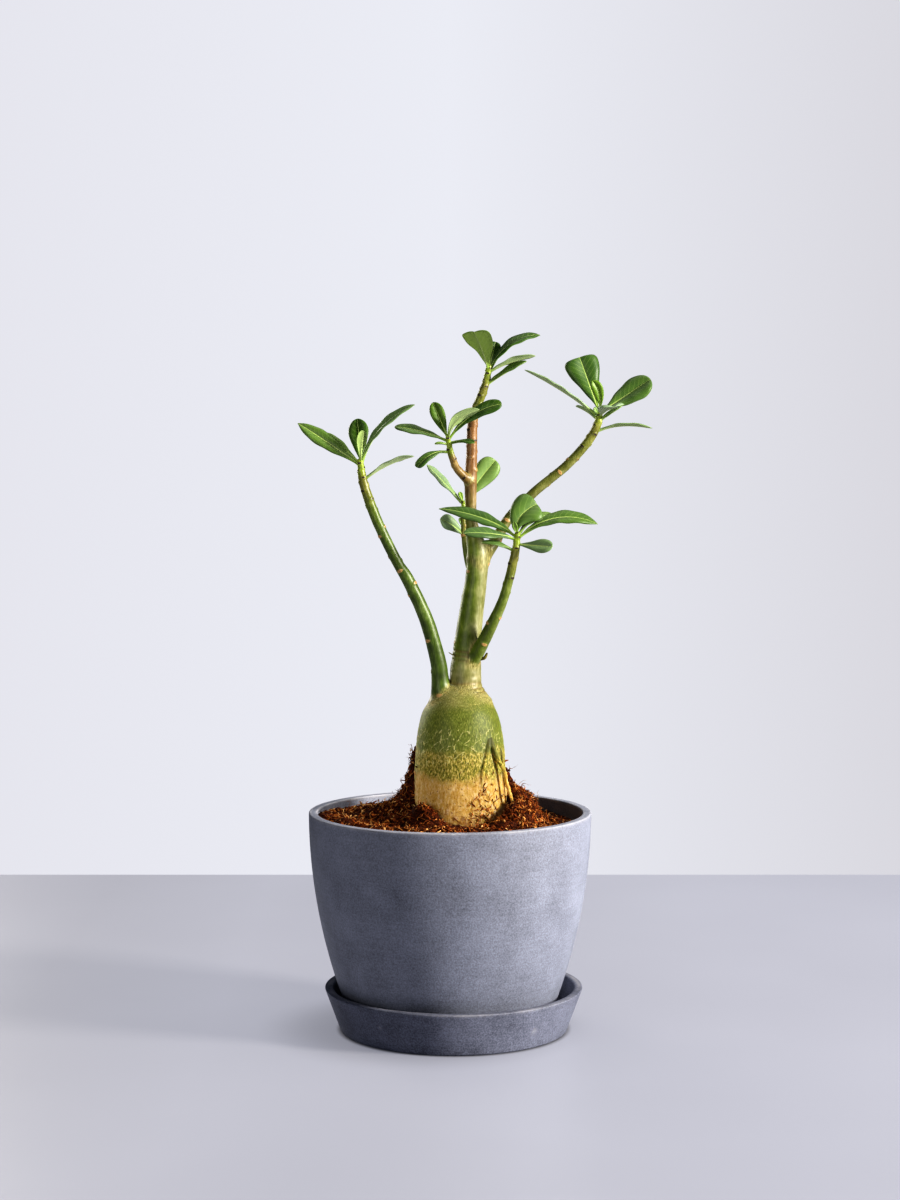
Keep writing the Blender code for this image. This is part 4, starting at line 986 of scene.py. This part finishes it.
# %% A sleeping bud and a dry thread at the neck
NECK_BITS = [
    [(16.4, -4.6, 199.6, 0.9), (18.4, -5.6, 200.4, 0.9), (19.6, -6, 202.6, 0.55)],
    [(3.4, -2.4, 201.3, 0.35), (1.4, -3.6, 201.8, 0.3), (-0.6, -4, 203, 0.2)],
]
neck_bits = strand_piece("neck_bits", NECK_BITS)
grow(neck_bits, stem_tree, {
    "Bark": bark, "Sides": 12, "Scar Height": 0.0, "Lump Height": 0.3 * MM, "Lump Size": 2 * MM})
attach(neck_bits, "root")

# %% [markdown]
# ### Collars
# Where one stem grows out of another, living tissue fills the corner. Each surface rises towards its neighbour
# over the last few millimetres, so that the two meet in a soft collar.


# %% Raising a collar
def surface_of(piece):
    """The piece's faces as they are now, in a form that finds the nearest place quickly."""
    mesh = piece.data
    return BVHTree.FromPolygons([v.co.copy() for v in mesh.vertices], [list(p.vertices) for p in mesh.polygons])


def raise_collar(piece, own, neighbour, reach):
    """Lifts piece along its normals where it comes within reach of the part of neighbour outside itself."""
    moved = []
    joint = piece.data.attributes["joint"].data
    for vertex in piece.data.vertices:
        place, facing, _, distance = neighbour.find_nearest(vertex.co, reach)
        if place is None:
            continue
        if (vertex.co - place).dot(facing) < 0:
            distance = 0
        near, outward, _, depth = own.find_nearest(place)
        buried = depth / reach if (place - near).dot(outward) < 0 else 0
        joint[vertex.index].value = max(joint[vertex.index].value, 1 - distance / reach)
        lift = (reach - distance) ** 2 / (4 * reach) * max(1 - 2 * buried, 0)
        moved.append((vertex.index, vertex.normal * lift))
    for index, step in moved:
        piece.data.vertices[index].co += step
    return len(moved)


COLLARS = [
    ("trunk", "caudex", 5), ("branch_left", "caudex", 4), ("branch_left", "trunk", 2),
    ("branch_low_right", "trunk", 2.5), ("branch_high_right", "trunk", 4), ("shoot_upper_left", "trunk", 2),
    ("twig_rear", "trunk", 2), ("roots", "caudex", 1.6),
]
grown = stems | {"caudex": caudex, "roots": roots}
surfaces = {name: surface_of(piece) for name, piece in grown.items()}
for piece in grown.values():
    set_columns(piece, {"joint": np.zeros(len(piece.data.vertices))})
for name, neighbour, reach in COLLARS:
    for piece, other in ((name, neighbour), (neighbour, name)):
        print(piece, "rises at", raise_collar(grown[piece], surfaces[piece], surfaces[other], reach * MM), "places")

# %% [markdown]
# ## Soil
# The mix is mostly coir, the fibre of coconut husk. Its surface is banked against the plant at one side and
# heaped round the roots at the other. Fibres, flakes and crumbs lie on it in their thousands, so a tree
# scatters them: a tapered sliver with a few sides, at a random size, laid along the surface and bent a little.


# %% The soil's surface
# heights and distances are in millimetres, directions and spreads in degrees
BANKS = [  # against the caudex: direction, spread, height, reach
    (163, 34, 17, 20), (163, 34, 20, 4), (14, 30, 11, 4), (90, 40, 10, 14), (90, 40, 8, 4),
]
HEAPS = [  # standing free: direction, spread, height, distance out, width
    (-30, 24, 12, 9, 8), (-128, 20, 11, 5, 7),
]
SHELF = (14, 30, 18, 17, 2)  # level beside the caudex: direction, spread, height, distance of its edge, softness
SLOPES = [(-90, 55, 2.5), (180, 60, 3.5)]  # all the way out: direction, spread, height
SOIL_LEVEL = 109.5 * MM
SOIL_GAP = 0.1 * MM
SOIL_TURNS, SOIL_RINGS = 360, 120
RELIEF = 1.8
soil_dice = random.Random(7)
SOIL_WAVES = [
    (soil_dice.uniform(0.2, 0.55), soil_dice.choice((-9, -7, -5, 5, 7, 9)), soil_dice.uniform(0, math.tau))
    for _ in range(6)
]


def bump(turn, centre, spread):
    """1 at the angle centre and falling away over spread, both in degrees."""
    return np.exp(-(((np.degrees(turn) - centre + 180) % 360 - 180) / spread) ** 2)


def soil_height(turn, out):
    """Height of the surface at a distance out from the caudex, in metres."""
    far = out / MM
    high = RELIEF * sum(np.sin(a * far + b * turn + c) for a, b, c in SOIL_WAVES) / len(SOIL_WAVES)
    for way, spread, height, reach in BANKS:
        high = high + bump(turn, way, spread) * height * np.exp(-far / reach)
    for way, spread, height, distance, width in HEAPS:
        high = high + bump(turn, way, spread) * height * np.exp(-(((far - distance) / width) ** 2))
    way, spread, height, edge, softness = SHELF
    high = high + bump(turn, way, spread) * height / (1 + np.exp((far - edge) / softness))
    for way, spread, height in SLOPES:
        high = high + bump(turn, way, spread) * height
    return SOIL_LEVEL + high * MM


def soil_faces(rows, first):
    """Faces between rows of points that go all the way round, each face counted from its corner number first."""
    corners = ((0, 0), (1, 0), (1, 1), (0, 1))
    corners = corners[first:] + corners[:first]
    return [tuple((row + up) * SOIL_TURNS + (turn + on) % SOIL_TURNS for up, on in corners)
            for row in range(rows - 1) for turn in range(SOIL_TURNS)]


turns = np.arange(SOIL_TURNS) * math.tau / SOIL_TURNS
round_about = np.column_stack([np.cos(turns), np.sin(turns)])
caudex_outline = np.array(CAUDEX_PROFILE, float) * MM
caudex_girth = np.interp(125 * MM, caudex_outline[:, 0], caudex_outline[:, 1])
inner = (CAUDEX_X, 0) + (caudex_girth - 1 * MM) * round_about
soil_radius = pot_radius(SOIL_LEVEL) - POT_WALL - SOIL_GAP
outer = soil_radius * round_about
soil_rows = []
for share in np.linspace(0, 1, SOIL_RINGS):
    flat = inner + (outer - inner) * share
    out = np.maximum(np.linalg.norm(flat - inner, axis=1) - 1 * MM, 0)
    soil_rows.append(np.column_stack([flat, soil_height(turns, out)]))

# %% The tree that roughens the soil
ground_tree, add, given = new_tree("soil_ground", {
    "Clod Size": 8 * MM, "Clod Height": 5 * MM, "Grain Size": 2.4 * MM, "Grain Height": 2 * MM,
    "Lowest": 100 * MM, "Earth": None,
})
lift = 0.0
for kind in ("Clod", "Grain"):
    wave = add("noise", Scale=add("math divide", 1.0, given[kind + " Size"]), Detail=2.0)
    lift = add("math multiply_add", add("math subtract", wave, 0.5), given[kind + " Height"], lift)
on_top = add("math greater_than", add("split", add("position"), out="Z"), given["Lowest"])
lift = add("combine", Z=add("math multiply", lift, on_top))
end_tree(add, add("move", given["Geometry"], Offset=lift), given["Earth"])

# %% Soil and coir finishes


def coir_finish(name, stops, by_piece):
    """Rough husk: browns that change within 1.1 mm, or from one sliver to the next, over fibres of 0.6 mm."""
    made, shader, add, where = new_material(name, Roughness=0.9, IOR=1.2)
    grain = add("noise", where, Scale=900.0, Detail=4.0, Roughness=0.7)
    if by_piece:
        tone = add("attribute", attribute_name="tone", out="Fac")
        grain = add("math multiply_add", add("math subtract", grain, 0.5), 0.5, tone)
    fibres = add("noise", where, Scale=1800.0, Detail=3.0)
    plug(shader, Base_Color=add("ramp", grain, stops=stops),
         Normal=add("bump", Height=fibres, Strength=0.6, Distance=0.4 * MM))
    return made


earth = coir_finish("damp_coir_soil", [(0.35, "170803"), (0.5, "321507"), (0.65, "582b10")], False)
husk = coir_finish("coir_husk", [
    (0.0, "220c04"), (0.4, "54260d"), (0.7, "80451c"), (0.9, "a47038"), (1.0, "c8a470")], True)

# %% The soil's body
# a ring under the bulb, the surface, then rings down the inside of the pot, closed by a point at each end
wall_heights = np.array([92, 70, 48, 28, 14]) * MM
body_rows = [soil_rows[0] * (0, 0, 1) + np.column_stack([inner * 0.5, 0 * turns]), *soil_rows]
for z in wall_heights:
    body_rows.append(np.column_stack([outer * (pot_radius(z) - POT_WALL - SOIL_GAP) / soil_radius, z + 0 * turns]))
poles = [(CAUDEX_X, 0, 112 * MM), (0, 0, wall_heights[-1])]
faces = soil_faces(len(body_rows), 0)
count = len(body_rows) * SOIL_TURNS
last = count - SOIL_TURNS
faces += [(count, k, (k + 1) % SOIL_TURNS) for k in range(SOIL_TURNS)]
faces += [(count + 1, last + (k + 1) % SOIL_TURNS, last + k) for k in range(SOIL_TURNS)]
soil = add_piece("soil_bed", np.vstack([*body_rows, poles]), (), faces)
grow(soil, ground_tree, {"Earth": earth})
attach(soil, "root")
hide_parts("soil")

# %% The tree that scatters slivers of coir
coir_tree, add, given = new_tree("coir_slivers", {
    "Density": 1.0, "Seed": 1, "Sides": 5, "Segments": 6, "Shortest": 2 * MM, "Longest": 9 * MM,
    "Thinnest": 0.12 * MM, "Thickest": 0.4 * MM, "Flatness": 1.6, "Least Lift": -0.1, "Most Lift": 0.5,
    "Grain": 0.0, "Bend": 2 * MM, "Bend Size": 5 * MM, "Darkest": 0.0, "Husk": None,
})
scatter = add("math multiply", given["Density"], add("column", "thick"))
laid = add("GeometryNodeDistributePointsOnFaces", given["Geometry"], Density=scatter, Seed=given["Seed"])
upward = laid.node.outputs["Normal"]
# every sliver draws four numbers of its own, each between two limits and with a seed of its own
LIMITS = ((given["Least Lift"], given["Most Lift"]), (given["Thinnest"], given["Thickest"]),
          (given["Shortest"], given["Longest"]), (given["Darkest"], 1.0))
rise, thick, long, tone = (add("random", least, most, Seed=add("math add", given["Seed"], float(step)))
                           for step, (least, most) in enumerate(LIMITS, 1))

# %% Which way a sliver points: along the surface, and a little up
heading = add("random", (-1, -1, -1), (1, 1, 1), Seed=given["Seed"], data_type="FLOAT_VECTOR")
away = add("vector scale", upward, add("vector dot_product", heading, upward))
heading = add("vector normalize", add("vector subtract", heading, away))
heading = add("vector add", heading, add("vector scale", upward, rise))
heading = add("vector add", heading, add("combine", Z=given["Grain"]))
turned = add("FunctionNodeAlignRotationToVector", Vector=heading, axis="Z")

# %% A sliver is a cylinder that narrows to both ends, then bends
sliver = add("GeometryNodeMeshCylinder", given["Sides"], given["Segments"],
             Radius=1.0, Depth=1.0, fill_type="TRIANGLE_FAN")
x, y, z = add("split", add("position")).node.outputs
taper = add("math multiply_add", add("math multiply", z, z), -3.4, 1.0)
narrow = add("combine", add("math multiply", x, taper), add("math multiply", y, taper), z)
sliver = add("move", sliver, Position=narrow)
size = add("combine", thick, add("math multiply", thick, given["Flatness"]), long)
placed = add("GeometryNodeInstanceOnPoints", laid, Instance=sliver, Rotation=turned, Scale=size)
placed = add("realize", add("store", placed, Name="tone", Value=tone, domain="INSTANCE"))
bend = add("noise", Scale=add("math divide", 1.0, given["Bend Size"]), Detail=2.0, out="Color")
bend = add("vector scale", add("vector subtract", bend, (0.5, 0.5, 0.5)), given["Bend"])
end_tree(add, add("move", placed, Offset=bend), given["Husk"])

# %% Coir on the surface


def litter(name, points, faces, thick, numbers):
    """One kind of sliver scattered on a surface, thickly where thick is 1 and not at all where it is 0."""
    made = add_piece(name, points, (), faces)
    set_columns(made, {"thick": thick})
    grow(made, coir_tree, {"Husk": husk} | numbers)
    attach(made, "root")
    litters.append(made)


litters = []
top_points = np.vstack(soil_rows)
from_caudex = np.hypot(top_points[:, 0] - CAUDEX_X, top_points[:, 1]) - caudex_girth
from_pot = soil_radius - np.hypot(top_points[:, 0], top_points[:, 1])
clear = eased(from_pot, 1 * MM, 4 * MM) * eased(from_caudex, -0.5 * MM, 1 * MM)
inland = clear * eased(from_pot, 9 * MM, 16 * MM)
way = np.arctan2(top_points[:, 1], top_points[:, 0] - CAUDEX_X)
heaped = inland * (0.15 + bump(way, 172, 24) + bump(way, -20, 34))
COIR = {
    "coir_threads": (heaped, {
        "Density": 26000.0, "Seed": 53, "Shortest": 7 * MM, "Longest": 17 * MM, "Thinnest": 0.1 * MM,
        "Thickest": 0.2 * MM, "Flatness": 1.0, "Least Lift": 0.15, "Most Lift": 0.8, "Bend": 16 * MM,
        "Bend Size": 6 * MM, "Darkest": 0.55, "Segments": 18, "Sides": 4}),
    "coir_fibres": (clear, {
        "Density": 260000.0, "Seed": 3, "Shortest": 3 * MM, "Longest": 11 * MM, "Thinnest": 0.1 * MM,
        "Thickest": 0.26 * MM, "Most Lift": 0.55, "Bend": 6 * MM, "Segments": 7, "Sides": 3}),
    "coir_flakes": (clear, {
        "Density": 60000.0, "Seed": 11, "Longest": 5 * MM, "Thinnest": 0.2 * MM, "Thickest": 0.5 * MM,
        "Flatness": 2.0, "Most Lift": 0.6, "Bend": 3 * MM, "Segments": 6}),
    "soil_crumbs": (clear, {
        "Density": 190000.0, "Seed": 23, "Shortest": 0.8 * MM, "Longest": 2.4 * MM, "Thinnest": 0.35 * MM,
        "Thickest": 1.0 * MM, "Flatness": 1.2, "Most Lift": 1.2, "Bend": 2 * MM, "Bend Size": 1.8 * MM,
        "Segments": 4, "Sides": 5}),
}
top_faces = soil_faces(SOIL_RINGS, 1)
for name, (thick, numbers) in COIR.items():
    litter(name, top_points, top_faces, thick, numbers)


# %% Coir that clings to the caudex
PATCH = 40


def caudex_patch(turns, heights):
    """A grid on the bulb's side, between two directions in degrees and two heights in millimetres."""
    turns, heights = np.radians(np.linspace(*turns, PATCH)), np.linspace(*heights, PATCH) * MM
    points = []
    for z in heights:
        radius = np.interp(z, caudex_outline[:, 0], caudex_outline[:, 1])
        points += [(CAUDEX_X + radius * math.cos(t), radius * math.sin(t), z) for t in turns]
    starts = [row * PATCH + k for row in range(PATCH - 1) for k in range(PATCH - 1)]
    return np.array(points), [(k, k + 1, k + 1 + PATCH, k + PATCH) for k in starts]


CLINGING = {
    "coir_left": ((150, 215), (108, 157), {"Density": 200000.0, "Seed": 31, "Longest": 7 * MM, "Grain": 1.2}),
    "coir_front": ((225, 345), (106, 125), {
        "Density": 420000.0, "Seed": 37, "Shortest": 0.6 * MM, "Longest": 2.6 * MM, "Thickest": 0.26 * MM}),
    "coir_roots": ((-80, -28), (116, 147), {
        "Density": 420000.0, "Seed": 43, "Shortest": 1 * MM, "Longest": 6 * MM, "Thickest": 0.24 * MM,
        "Bend": 4.5 * MM, "Segments": 7}),
    "coir_right": ((-40, 14), (122, 155), {"Density": 130000.0, "Seed": 41, "Longest": 8 * MM, "Grain": -0.8}),
}
for name, (turns, heights, numbers) in CLINGING.items():
    points, faces = caudex_patch(turns, heights)
    spread = bump(np.arctan2(points[:, 1], points[:, 0] - CAUDEX_X), sum(turns) / 2, 0.3 * (turns[1] - turns[0]))
    rise = eased(points[:, 2] / MM, heights[1], heights[0])
    numbers = {"Least Lift": 0.05, "Most Lift": 0.4, "Thickest": 0.5 * MM} | numbers
    litter(name, points, faces, spread * rise, numbers)

# %% [markdown]
# ## Which lamp lights what
# Leaves glow a little in their own shade, and light comes back off the walls into the pot. Three fill lights
# stand in for that, and each of them lights only the pieces in its own list. The rim light leaves out the pot
# and the saucer, whose edges stay dark.

# %% A list of pieces for each of those lamps
plant, potful = [*grown.values(), *heads], [soil, *litters]
LIT = {
    "leaf_fill": plant + potful,
    "soil_fill": [pot, *potful],
    "pot_fill": [pot, caudex],
    "rim": [*plant, *potful, table],
}
for lamp, lit in LIT.items():
    group = bpy.data.collections.new(lamp)
    for piece in lit:
        group.objects.link(piece)
    lamps[lamp].light_linking.receiver_collection = group
    print(f"{lamp} lights {len(lit)} pieces")
